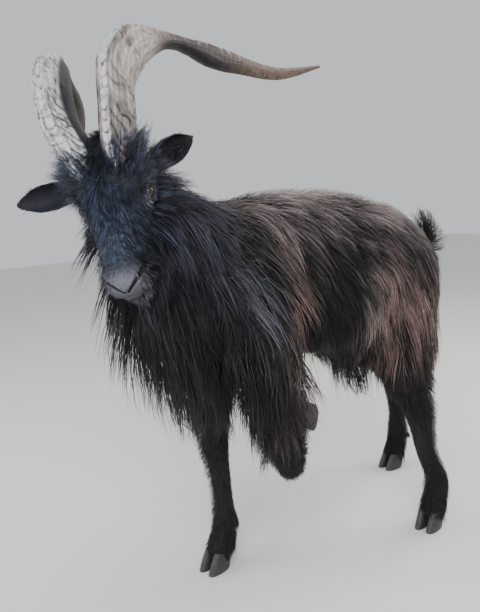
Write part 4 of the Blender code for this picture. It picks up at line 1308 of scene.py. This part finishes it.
# (length of the hair, how many tufts cover each place)
COVER = [(0.006, 0.55), (0.012, 0.85), (0.03, 1.9), (0.08, 3.4), (0.18, 4.4)]
TUFT_FILLS = 0.55           # share of its length times its width that a tuft covers
HEAD_DENSER = 0.6
CHEST_DENSER = (0.45, (0.800, -0.040, 0.720), (0.080, 0.100, 0.140))
# Bare places: distance outside the lids' opening, from the mouth, and from the horn's root.
BARE_LIDS = 0.0045
BARE_LIPS = 0.0022
BARE_HORN = 0.015
HORN_FLAT = (1, 0.6, 1)     # the horn's section is flatter than it is wide
BARE_FOOT = ((-0.05, -0.04, -0.030), (0.05, 0.04, 0.030))


def tuft_width(length):
    return 0.00075 + 0.0080 * length


def tuft_triangles(rings):
    return 6 * rings - 2


def haired(points):
    """1 where hair grows, 0 on the nose, the lids' edges, under the horns and at the hooves."""
    places = head_places(points)
    grows = np.ones(len(points))
    grows[within(places, BARE_NOSE)] = 0
    for side in (1, -1):
        own, outside = lid_places(places, side)
        grows[round_eye(own, ROUND_EYE) & (outside < BARE_LIDS)] = 0
        gap, _ = distance_to_line(places, mirrored(MOUTH, side))
        grows[gap < BARE_LIPS] = 0
        horn_line = np.array(mirrored(HORN_LINE[:3], side)) * HORN_FLAT
        gap, _ = distance_to_line(places * HORN_FLAT, horn_line)
        grows[gap < BARE_HORN] = 0
    for place in foot_places().values():
        own = (points - np.array(place.translation)) @ np.array(place.to_3x3())
        grows[within(own, BARE_FOOT)] = 0
    return grows


def unwrap(obj):
    """Lays the skin's own shape out on one map, and gives its places corner by corner."""
    bpy.context.view_layer.objects.active = obj
    obj.select_set(True)
    bpy.ops.object.mode_set(mode="EDIT")
    bpy.ops.mesh.select_all(action="SELECT")
    bpy.ops.uv.smart_project(angle_limit=math.radians(66), island_margin=0.001)
    bpy.ops.object.mode_set(mode="OBJECT")
    layer = obj.data.uv_layers.active
    layer.name = "OFBake"
    return read_out(layer.data, "uv", 2)


def scatter(skin, strokes, rng):
    """Roots spread over the skin, closer where the hair is short."""
    mesh = skin.data
    map_places = unwrap(skin)
    points, normals = points_of(mesh), normals_of(mesh)
    corners, loops = triangles_of(mesh)
    a, b, c = (points[corners[:, i]] for i in range(3))
    area = np.linalg.norm(np.cross(b - a, c - a), axis=1) / 2
    middle = (a + b + c) / 3
    _, length, _ = combed(middle, strokes)
    density = np.interp(length, *zip(*COVER)) / (length * tuft_width(length) * TUFT_FILLS)
    density = density * haired(middle)
    density *= 1 + HEAD_DENSER * near_head(middle)
    denser, place, reach = CHEST_DENSER
    density *= 1 + denser * near_place(middle - np.array(ORIGIN), place, reach)
    wanted = area * density
    longest, kind_rings = zip(*KINDS.values())
    rings = np.select([length < limit for limit in longest], list(kind_rings), kind_rings[-1])
    wanted *= TRIANGLES / (wanted * tuft_triangles(rings)).sum()
    total = int(wanted.sum())
    marks = (np.arange(total) + rng.random(total)) * (wanted.sum() / total)
    chosen = np.searchsorted(np.cumsum(wanted), marks).clip(0, len(area) - 1)
    u, v = rng.random((2, total))
    flip = u + v > 1
    u, v = np.where(flip, 1 - u, u), np.where(flip, 1 - v, v)
    weights = np.stack([1 - u - v, u, v], axis=1)[:, :, None]
    roots = (points[corners[chosen]] * weights).sum(axis=1)
    facing = unit((normals[corners[chosen]] * weights).sum(axis=1))
    spots = (map_places[loops[chosen]] * weights).sum(axis=1)
    return roots, facing, spots


def waves(points, length, seed, count=5):
    """A smooth field of three numbers about 0, changing over the given length."""
    rng = np.random.default_rng(seed)
    field = np.zeros((len(points), 3))
    for _ in range(count):
        turn = points @ rng.normal(0, 2 * math.pi / length / 1.7, 3) + rng.uniform(0, 2 * math.pi)
        field += np.sin(turn)[:, None] * rng.normal(0, 1, 3)
    return field / math.sqrt(count)


def near_head(points):
    """1 on the head, 0 from the neck on."""
    places = head_places(points)
    share = smoothstep(-0.16, -0.11, places[:, 1]) * smoothstep(-0.10, -0.05, places[:, 0])
    return share * (np.abs(places[:, 2]) < 0.16)


OFF_FLOOR = 0.0025          # no hair's middle line lies lower
ROOT_SUNK = 0.0015          # how far under the skin a tuft starts
OVER_SKIN = 0.0008          # least height of its points over the skin
DEEPEST = 0.05              # the most depth of coat that counts, and the most that a point sinks
LENGTH_SPREAD = 0.20        # of the hair's length and width, as a logarithm
LIFT_SPREAD = 0.06
STRAY_LIFT = 0.30
SIDE_SPREAD = 0.13
FALL = (0.30, 0.03, 0.12)   # pull of its weight, from none at the first length to all at the second
HEAD_FALL_LESS = 0.5        # share of that pull which the head's hair is spared
SWAY = 0.16
SWAY_SPREAD = 0.05
SWAY_SIZE = 0.07            # of the waves that say how far the tufts of one place sway
PHASE_SIZE = 0.10           # of those that say where in its sway a tuft starts
PHASE_RANGE = 3.0
BENDS = 4.5                 # radians that a tuft's sway turns through, root to tip
WANDER = 0.035
LAYER_SKEW = 0.75           # under 1, so more tufts lie in the coat's outer layers
LEAST_LENGTH = 1.25         # of a tuft, against the depth of its layer
LAYER_HIGH = (0.92, 0.6)    # its layer's height, against the coat's depth and at most its length
MOST_RAISED = 0.03          # that one point is lifted off the skin
KEEPS_ON = 0.55             # share of its heading that a tuft keeps from point to point
FOLLOWS = 0.35              # share of the comb's lie that it takes on
# How far a tip may stand out of the flesh solids: everywhere (shape and scale of a gamma
# distribution), and more on the head, its right side, the chest, a stray tuft, and underneath.
TIP_ROOM = (2.0, 0.0035)
HEAD_ROOM = 0.034
RIGHT_ROOM = 0.008
CHEST_ROOM = 0.024
STRAY_ROOM = 0.012
UNDER_ROOM = 0.016
STRAY = 0.05                # share of tufts that stand out of the coat
TOUSLE = 0.42               # how far the comb's lie is ruffled
FINE_RUFFLE, WIDE_RUFFLE = 0.055, 0.16  # sizes of the waves that ruffle it
# (place in the drawing, reach, share of the coat's depth kept, how much further in it ends)
TRIMS = [
    ((0.555, 0.122, 0.292), (0.070, 0.070, 0.052), 0.30, 0.010),  # the lifted knee
    ((0.060, 0.160, 0.560), (0.075, 0.080, 0.210), 0.75, 0.017),  # behind the near thigh
    ((0.075, 0.170, 0.240), (0.060, 0.060, 0.140), 0.80, 0.006),
]
# (place in the drawing, reach, how much further out the coat may stand)
ROOM = [
    ((0.800, -0.065, 0.760), (0.075, 0.080, 0.130), 0.062),  # throat, on its right
    ((0.610, 0.000, 0.840), (0.110, 0.080, 0.060), 0.020),  # withers
    ((0.170, 0.000, 0.500), (0.080, 0.070, 0.070), 0.060),  # between the thighs
    ((0.630, 0.105, 0.430), (0.060, 0.060, 0.095), 0.052),  # front of the lifted leg
    ((0.560, 0.120, 0.540), (0.065, 0.070, 0.085), 0.085),  # behind its elbow
    ((0.720, 0.060, 0.890), (0.080, 0.080, 0.070), 0.022),  # crest
    ((0.620, -0.100, 0.430), (0.060, 0.060, 0.070), 0.020),  # front of the right foreleg
    ((-0.100, 0.000, 0.680), (0.050, 0.050, 0.070), 0.014),  # tail
]


def room_for(roots, on_head, stray, rng):
    """How far each tuft's tip may stand out of the flesh solids."""
    own = roots - np.array(ORIGIN)
    on_chest = smoothstep(0.66, 0.74, own[:, 0]) * (1 - on_head) * smoothstep(0.30, 0.42, own[:, 2])
    under = smoothstep(0.60, 0.52, own[:, 2]) * smoothstep(0.60, 0.50, own[:, 0])
    on_right = on_head * smoothstep(0.0, -0.04, head_places(roots)[:, 2])
    roomy = rng.gamma(*TIP_ROOM, len(roots)) + HEAD_ROOM * on_head + CHEST_ROOM * on_chest
    roomy += STRAY_ROOM * stray + UNDER_ROOM * under * rng.random(len(roots))
    roomy += RIGHT_ROOM * on_right
    for place, reach, further in ROOM:
        roomy += further * near_place(own, place, reach)
    for place, reach, _, inwards in TRIMS:
        roomy -= inwards * near_place(own, place, reach)
    return roomy


def grown(roots, facing, strokes, skin_gap, coat_gap, rings, rng):
    """The path of each tuft from its root to its tip, over the skin and within the coat."""
    count = len(roots)
    lie, length, lift = combed(roots, strokes)
    depth = np.clip(-coat_gap.read(roots)[0], 0, DEEPEST)
    on_head = near_head(roots)
    layer = rng.random(count) ** LAYER_SKEW
    length = length * np.exp(rng.normal(0, LENGTH_SPREAD, count))
    for place, reach, kept, _ in TRIMS:
        depth = depth * (1 - (1 - kept) * near_place(roots - np.array(ORIGIN), place, reach))
    length = np.maximum(length, LEAST_LENGTH * depth * layer)
    lift = lift * (0.6 + 0.8 * rng.random(count)) + rng.normal(0, LIFT_SPREAD, count)
    stray = rng.random(count) < STRAY
    lift = np.where(stray, lift + STRAY_LIFT, lift)
    tousle = waves(roots, FINE_RUFFLE, SEED + 1) * 0.5 + waves(roots, WIDE_RUFFLE, SEED + 2) * 0.5
    along = unit(lie + TOUSLE * tousle * (1 + stray)[:, None])
    along = unit(along - facing * (along * facing).sum(axis=1, keepdims=True))
    aside = np.cross(facing, along)
    spread = rng.normal(0, SIDE_SPREAD, count)[:, None]
    heading = unit(along + aside * spread + facing * lift[:, None])
    step = (length / rings)[:, None]
    spared = 1 - HEAD_FALL_LESS * on_head[:, None]
    fall = smoothstep(*FALL[1:], length)[:, None] * FALL[0] * spared
    down = np.array((0, 0, -1)) * fall
    roomy = room_for(roots, on_head, stray, rng)
    sway = SWAY * waves(roots, SWAY_SIZE, SEED + 3)[:, :1]
    sway = sway + rng.normal(0, SWAY_SPREAD, count)[:, None]
    phase = PHASE_RANGE * waves(roots, PHASE_SIZE, SEED + 4)[:, :1]
    path = [roots - facing * ROOT_SUNK]
    for j in range(rings):
        t = (j + 1) / rings
        point = path[-1] + heading * step
        gap, away = skin_gap.read(point)
        rise = min(1.0, 0.25 + 1.2 * t)
        of_depth, of_length = LAYER_HIGH
        low = OVER_SKIN + np.minimum(depth * of_depth * layer, of_length * length) * rise
        point = point + away * np.clip(low - gap, 0, MOST_RAISED)[:, None]
        over, outside = coat_gap.read(point)
        point = point - outside * np.clip(over - roomy * t, 0, DEEPEST)[:, None]
        path.append(point)
        lie, _, _ = combed(point, strokes)
        moved = unit(path[-1] - path[-2])
        curl = aside * sway * np.sin(phase + BENDS * t)
        wander = rng.normal(0, WANDER, (count, 3)) + curl
        ruffled = unit(lie + 0.6 * TOUSLE * tousle)
        heading = unit(moved * KEEPS_ON + ruffled * FOLLOWS + wander + down)
    path = np.stack(path, axis=1)
    path[..., 2] = np.maximum(path[..., 2], OFF_FLOOR)
    return path, length


FACING_WEIGHT = 0.02        # metres that a right angle between two roots' facing counts for


def gathered(path, length, facing, rng, each, pull):
    """Draws the tips of neighbouring tufts together into locks, and returns each one's lock."""
    count = len(path)
    leaders = rng.choice(count, max(1, count // each), replace=False)
    tree = KDTree(len(leaders))
    for i, leader in enumerate(leaders):
        tree.insert(Vector(path[leader, 0] + facing[leader] * FACING_WEIGHT), i)
    tree.balance()
    owner = np.array([tree.find(Vector(p))[1] for p in path[:, 0] + facing * FACING_WEIGHT])
    far = np.linalg.norm(path[leaders[owner], 0] - path[:, 0], axis=1) > 0.6 * length
    t = np.linspace(0, 1, path.shape[1])[None, :, None]
    share = pull * t ** 1.4 * (0.4 + 0.8 * rng.random(count))[:, None, None]
    share = np.minimum(share, 0.95) * ~far[:, None, None]
    own = path + (path[leaders[owner]] - path) * share
    return own, owner


def tuft_pattern(rings):
    """One tuft's faces as point numbers, their sizes, and each corner's place on its patch."""
    across = (0.0, 1.0, 0.5)
    faces, sizes, patch = [], [], []
    for j in range(rings - 1):
        low, high = j / rings, (j + 1) / rings
        for k in range(3):
            n = (k + 1) % 3
            faces += [j * 3 + k, j * 3 + 3 + k, j * 3 + 3 + n, j * 3 + n]
            patch += [(across[k], low), (across[k], high), (across[n], high), (across[n], low)]
            sizes.append(4)
    last = (rings - 1) * 3
    for k in range(3):
        n = (k + 1) % 3
        faces += [last + k, rings * 3, last + n]
        patch += [(across[k], (rings - 1) / rings), (0.5, 1.0), (across[n], (rings - 1) / rings)]
        sizes.append(3)
    faces += [0, 1, 2]
    patch += [(0.0, 0.0), (1.0, 0.0), (0.5, 0.2)]
    sizes.append(3)
    return faces, sizes, patch


def tuft_mesh(name, path, facing, width, spots, colours):
    """Tapered three-sided tufts along the paths, each closed at its root and drawn to a tip."""
    count, places, _ = path.shape
    rings = places - 1
    ahead = unit(np.gradient(path, axis=1))
    side = unit(np.cross(ahead, facing[:, None]))
    top = np.cross(side, ahead)
    t = np.arange(rings) / rings
    profile = np.minimum(1, 0.65 + 1.6 * t) * (1 - t ** 2.4)
    half = width[:, None, None] * profile[None, :, None] / 2
    body = path[:, :rings]
    ring = np.stack([body - side[:, :rings] * half, body + side[:, :rings] * half,
                     body + top[:, :rings] * half * 0.9], axis=2)
    points = np.concatenate([ring.reshape(count, rings * 3, 3), path[:, rings:]], axis=1)
    each = rings * 3 + 1
    faces, sizes, patch = tuft_pattern(rings)
    loops = (np.array(faces)[None] + np.arange(count)[:, None] * each).ravel()
    sizes = np.tile(sizes, count)
    starts = np.concatenate([[0], np.cumsum(sizes)[:-1]])
    mesh = bpy.data.meshes.new(name)
    mesh.vertices.add(count * each)
    mesh.vertices.foreach_set("co", points.ravel())
    mesh.loops.add(len(loops))
    mesh.loops.foreach_set("vertex_index", loops.astype(np.int32))
    mesh.polygons.add(len(sizes))
    mesh.polygons.foreach_set("loop_start", starts.astype(np.int32))
    mesh.polygons.foreach_set("use_smooth", np.ones(len(sizes), bool))
    mesh.update(calc_edges=True)
    maps = np.clip(spots, PATCH, 1 - PATCH)[:, None] + (np.array(patch)[None] - 0.5) * PATCH
    layer = mesh.uv_layers.new(name="OFBake")
    layer.data.foreach_set("uv", maps.ravel())
    root, tip = colours
    fade = np.concatenate([np.repeat(np.arange(rings) / rings, 3), [1.0]])[None, :, None]
    colour_points(mesh, "tone", (root[:, None] * (1 - fade) + tip[:, None] * fade).reshape(-1, 3))
    return linked(name, mesh)


PALE_TIP = np.array((0.16, 0.125, 0.105))
ROOT_VALUE, TIP_VALUE = 0.70, 1.25


def tuft_tones(roots, owner, rng):
    """Root and tip colour of each tuft: the markings with their painted sheen and shade, broken up
    lock by lock into streaks.
    """
    base, share = marks_and_painted_light(roots)
    lock = rng.random(owner.max() + 1)[owner]
    own = rng.random(len(roots))
    mood = 0.55 * lock + 0.45 * own
    kept = smoothstep(0.40, 0.60, mood + 0.45 * (share - 0.72))[:, None]
    share = share[:, None]
    dark = BLACK * 0.5 + base * 0.12
    tone = dark + (base * (1.0 + 1.1 * share) - dark) * kept
    pale = smoothstep(0.965, 0.995, own)[:, None]
    tip = tone + (PALE_TIP - tone) * pale * (0.35 + 0.65 * share)
    value = np.exp(rng.normal(0, 0.30, len(roots)) + 0.8 * (lock - 0.5))[:, None]
    return np.clip(tone * value * ROOT_VALUE, 0, 1), np.clip(tip * value * TIP_VALUE, 0, 1)


HEAD_FINENESS = 0.78        # width of the head's tufts against the body's


def make_coat(skin, skin_gap, coat_gap):
    rng = np.random.default_rng(SEED)
    strokes = comb()
    all_roots, all_facing, all_spots = scatter(skin, strokes, rng)
    _, length, _ = combed(all_roots, strokes)
    made = []
    shortest = 0.0
    for kind, (longest, rings) in KINDS.items():
        chosen = (length >= shortest) & (length < longest)
        shortest = longest
        roots, facing, spots = all_roots[chosen], all_facing[chosen], all_spots[chosen]
        path, grown_length = grown(roots, facing, strokes, skin_gap, coat_gap, rings, rng)
        path, owner = gathered(path, grown_length, facing, rng, *LOCKS[kind])
        colours = tuft_tones(roots, owner, rng)
        fine = np.where(near_head(roots) > 0.5, HEAD_FINENESS, 1.0)
        varied = np.exp(rng.normal(0, LENGTH_SPREAD, len(roots)))
        width = tuft_width(grown_length) * fine * varied
        pieces = math.ceil(len(roots) / (PIECE_TRIANGLES // tuft_triangles(rings)))
        for i, part in enumerate(np.array_split(np.argsort(roots[:, 0]), pieces)):
            tones = [tone[part] for tone in colours]
            made.append(tuft_mesh(f"coat_{kind}_{i + 1}", path[part], facing[part], width[part],
                                  spots[part], tones))
    return made


# ---- materials -----------------------------------------------------------------------------
def set_inputs(shader, settings):
    """Sets inputs by their names, with _ for spaces, and returns the settings that are none."""
    rest = {}
    for name, value in settings.items():
        socket = name.replace("_", " ")
        if socket in shader.inputs:
            shader.inputs[socket].default_value = value
        else:
            rest[name] = value
    return rest


def node(made, kind, **settings):
    added = made.node_tree.nodes.new("ShaderNode" + kind)
    for name, value in set_inputs(added, settings).items():
        setattr(added, name, value)
    return added


def shader_of(made):
    return made.node_tree.nodes["Principled BSDF"]


def plain_material(name, **sockets):
    made = bpy.data.materials.new(name)
    made.use_nodes = True
    set_inputs(shader_of(made), sockets)
    return made


def toned_material(name, **sockets):
    """A shader whose colour is the piece's own tones."""
    made = plain_material(name, **sockets)
    tone = node(made, "VertexColor", layer_name="tone")
    made.node_tree.links.new(tone.outputs["Color"], shader_of(made).inputs["Base Color"])
    return made


def add_grain(made, source, strength, distance, darken):
    """Lets a noise raise the surface and darken its colour a little."""
    links = made.node_tree.links
    inputs = shader_of(made).inputs
    bump = node(made, "Bump", Strength=strength, Distance=distance)
    links.new(source.outputs["Fac"], bump.inputs["Height"])
    links.new(bump.outputs["Normal"], inputs["Normal"])
    colour = inputs["Base Color"].links[0].from_socket
    ramp = node(made, "MapRange", From_Min=0.3, From_Max=0.7, To_Min=1 - darken, To_Max=1 + darken)
    links.new(source.outputs["Fac"], ramp.inputs["Value"])
    scaled = node(made, "VectorMath", operation="SCALE")
    links.new(colour, scaled.inputs[0])
    links.new(ramp.outputs["Result"], scaled.inputs["Scale"])
    links.new(scaled.outputs["Vector"], inputs["Base Color"])


def noise_over(made, scale, detail, stretch=(1, 1, 1), map_name=None):
    """A noise in the piece's own metres, or along one of its maps."""
    links = made.node_tree.links
    if map_name:
        start = node(made, "UVMap", uv_map=map_name).outputs["UV"]
    else:
        start = node(made, "TexCoord").outputs["Object"]
    mapping = node(made, "Mapping", Scale=stretch)
    links.new(start, mapping.inputs["Vector"])
    grain = node(made, "TexNoise", Scale=scale, Detail=detail)
    links.new(mapping.outputs["Vector"], grain.inputs["Vector"])
    return grain


def make_materials():
    """Every slot's material."""
    coat = toned_material("coat_hair", Roughness=0.50, Specular_IOR_Level=0.38)
    add_grain(coat, noise_over(coat, 1, 2, (1500, 100, 1), "OFBake"), 0.6, 0.0005, 0.75)
    skin = toned_material("goat_skin", Roughness=0.62, Specular_IOR_Level=0.28)
    add_grain(skin, noise_over(skin, 460, 4), 0.75, 0.0014, 0.45)
    horny = toned_material("goat_horn", Roughness=0.50, Specular_IOR_Level=0.30)
    add_grain(horny, noise_over(horny, 1, 5, (55, 900, 1), "grain"), 0.5, 0.0010, 0.22)
    clawed = toned_material("goat_claw", Roughness=0.48)
    add_grain(clawed, noise_over(clawed, 260, 4, (1, 1, 3)), 0.4, 0.0008, 0.25)
    wet = toned_material("goat_eye", Roughness=0.16, Specular_IOR_Level=0.2, Coat_Weight=0.7,
                         Coat_Roughness=0.03)
    return {"coat": coat, "skin": skin, "horn": horny, "claw": clawed, "eye": wet}


# ---- camera, light and floor ---------------------------------------------------------------
CAMERA_PLACE = drawn(1.3578, 1.0127, 0.8455)
CAMERA_YAW = 142.0                      # degrees from +Y, to the left
CAMERA_PITCH = 9.7                      # degrees down
CAMERA_ROLL = -3.85
CAMERA_VIEW = math.radians(53.05)       # from the frame's top to its bottom
# Name, place, aim, width, power, colour.
LIGHTS = [
    ("key", (1.9, 2.2, 2.4), (0.1, 0, 0.7), 1.8, 95, (1.0, 0.985, 0.96)),
    ("fill", (2.6, -1.2, 1.6), (0.1, 0, 0.6), 2.2, 45, (0.90, 0.95, 1.0)),
    ("rim", (-2.2, 0.6, 2.4), (0, 0, 0.7), 1.6, 55, (1.0, 0.97, 0.93)),
]
SKY = (0.95, 0.97, 1.0, 1)
SKY_STRENGTH = 0.75
FLOOR_HALF = 9
FLOOR_BELOW = 0.0005                    # the floor lies this far under the soles
FLOOR_COLOUR = (0.74, 0.73, 0.71, 1)


def make_camera():
    data = bpy.data.cameras.new("camera")
    data.sensor_fit = "VERTICAL"
    data.angle = CAMERA_VIEW
    camera = linked("camera", data)
    turn = Matrix.Rotation(math.radians(CAMERA_YAW), 4, "Z")
    nod = Matrix.Rotation(math.radians(90 - CAMERA_PITCH), 4, "X")
    roll = Matrix.Rotation(math.radians(CAMERA_ROLL), 4, "Z")
    camera.matrix_world = Matrix.Translation(CAMERA_PLACE) @ turn @ nod @ roll
    bpy.context.scene.camera = camera


def area_light(name, place, aim, size, power, colour):
    data = bpy.data.lights.new(name, "AREA")
    data.shape = "SQUARE"
    data.size = size
    data.energy = power
    data.color = colour
    lamp = linked(name, data)
    lamp.location = place
    lamp.rotation_euler = (Vector(aim) - Vector(place)).to_track_quat("-Z", "Y").to_euler()


def make_studio():
    for light in LIGHTS:
        area_light(*light)
    world = bpy.data.worlds.new("studio")
    bpy.context.scene.world = world
    world.use_nodes = True
    set_inputs(world.node_tree.nodes["Background"], {"Color": SKY, "Strength": SKY_STRENGTH})
    shape = bmesh.new()
    bmesh.ops.create_grid(shape, x_segments=1, y_segments=1, size=FLOOR_HALF)
    floor = new_object("floor", shape)
    floor.location.z = -FLOOR_BELOW
    floor.data.materials.append(plain_material("floor", Base_Color=FLOOR_COLOUR, Roughness=0.9))


# ---- the goat ------------------------------------------------------------------------------
def dress(obj, slot, material, *nodes):
    """Gives a piece its material, and lets it stand for the CAD nodes named. The slot is not used.
    """
    obj.data.materials.clear()
    obj.data.materials.append(material)
    obj.data.polygons.foreach_set("use_smooth", np.ones(len(obj.data.polygons), bool))
    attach(obj, "root")
    if nodes:
        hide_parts(*nodes)


# Reach of the dark lines on the skin: painted shade in the nostrils and along the mouth, a dark
# line round the lids. The nostril's is less by the second number at its inner end.
NOSTRIL_SHADE = (0.0032, 0.0014)
MOUTH_SHADE = 0.0022
LIDS_DARK = 0.0026
NOSE_FROM = 0.232           # from here along the head, skin gets none of the painted shade that lies under hair
HAIR_SHADE = 0.45           # how much painted shade darkens the skin there


def skin_tones(mesh):
    """The coat's markings and painted sheen on the skin, painted shade in the nostrils, along the
    mouth and under the hair, and dark between the lids.
    """
    points = points_of(mesh)
    tone, _ = marks_and_painted_light(points)
    places = head_places(points)
    for side in (1, -1):
        # Painted shade in the nostril, and along the mouth's line below.
        gap, where = nostril_gap(places, side)
        outer, less = NOSTRIL_SHADE
        dark = np.clip(1.4 * bell(gap, outer - less * where), 0, 1)
        tone = mixed(tone, BLACK * 0.2, dark * within(places, NOSTRILS))
        gap, _ = distance_to_line(places, mirrored(MOUTH, side))
        tone = mixed(tone, BLACK * 0.5, 0.8 * bell(gap, MOUTH_SHADE))
        own, outside = lid_places(places, side)
        tone = mixed(tone, BLACK * 0.5, round_eye(own, ROUND_EYE) * bell(outside, LIDS_DARK))
    # Painted shade under the hair: haired skin short of the nose is darker.
    hair_shaded = haired(points) * (places[:, 0] < NOSE_FROM)
    tone = tone * (1 - HAIR_SHADE * hair_shaded[:, None])
    colour_points(mesh, "tone", tone)


def build():
    materials = make_materials()
    skin = make_skin()
    cad_flesh = [bpy.data.objects[name] for name in FLESH]
    skin_gap, coat_gap = Distances([skin]), Distances(cad_flesh)
    coat = make_coat(skin, skin_gap, coat_gap)
    skin_tones(skin.data)
    dress(skin, "skin", materials["skin"], *FLESH)
    for piece in coat:
        dress(piece, "coat", materials["coat"])
    for side_name, mirror in (("left", 1), ("right", -1)):
        lengths = [f"horn_{side_name}_{part}" for part in ("base", "middle", "tip")]
        dress(horn(side_name, mirror), "horn", materials["horn"], *lengths)
        dress(eye(side_name, mirror), "eye", materials["eye"], "eye_" + side_name)
    for leg_name, place in foot_places().items():
        for claw_name, side in (("outer", 1), ("inner", -1)):
            hoof = claw(f"hoof_{leg_name}_{claw_name}", side, place)
            dress(hoof, "claw", materials["claw"], f"claw_{leg_name}_{claw_name}")
        dress(dewclaws(f"dewclaws_{leg_name}", place), "claw", materials["claw"])


make_camera()
make_studio()
build()
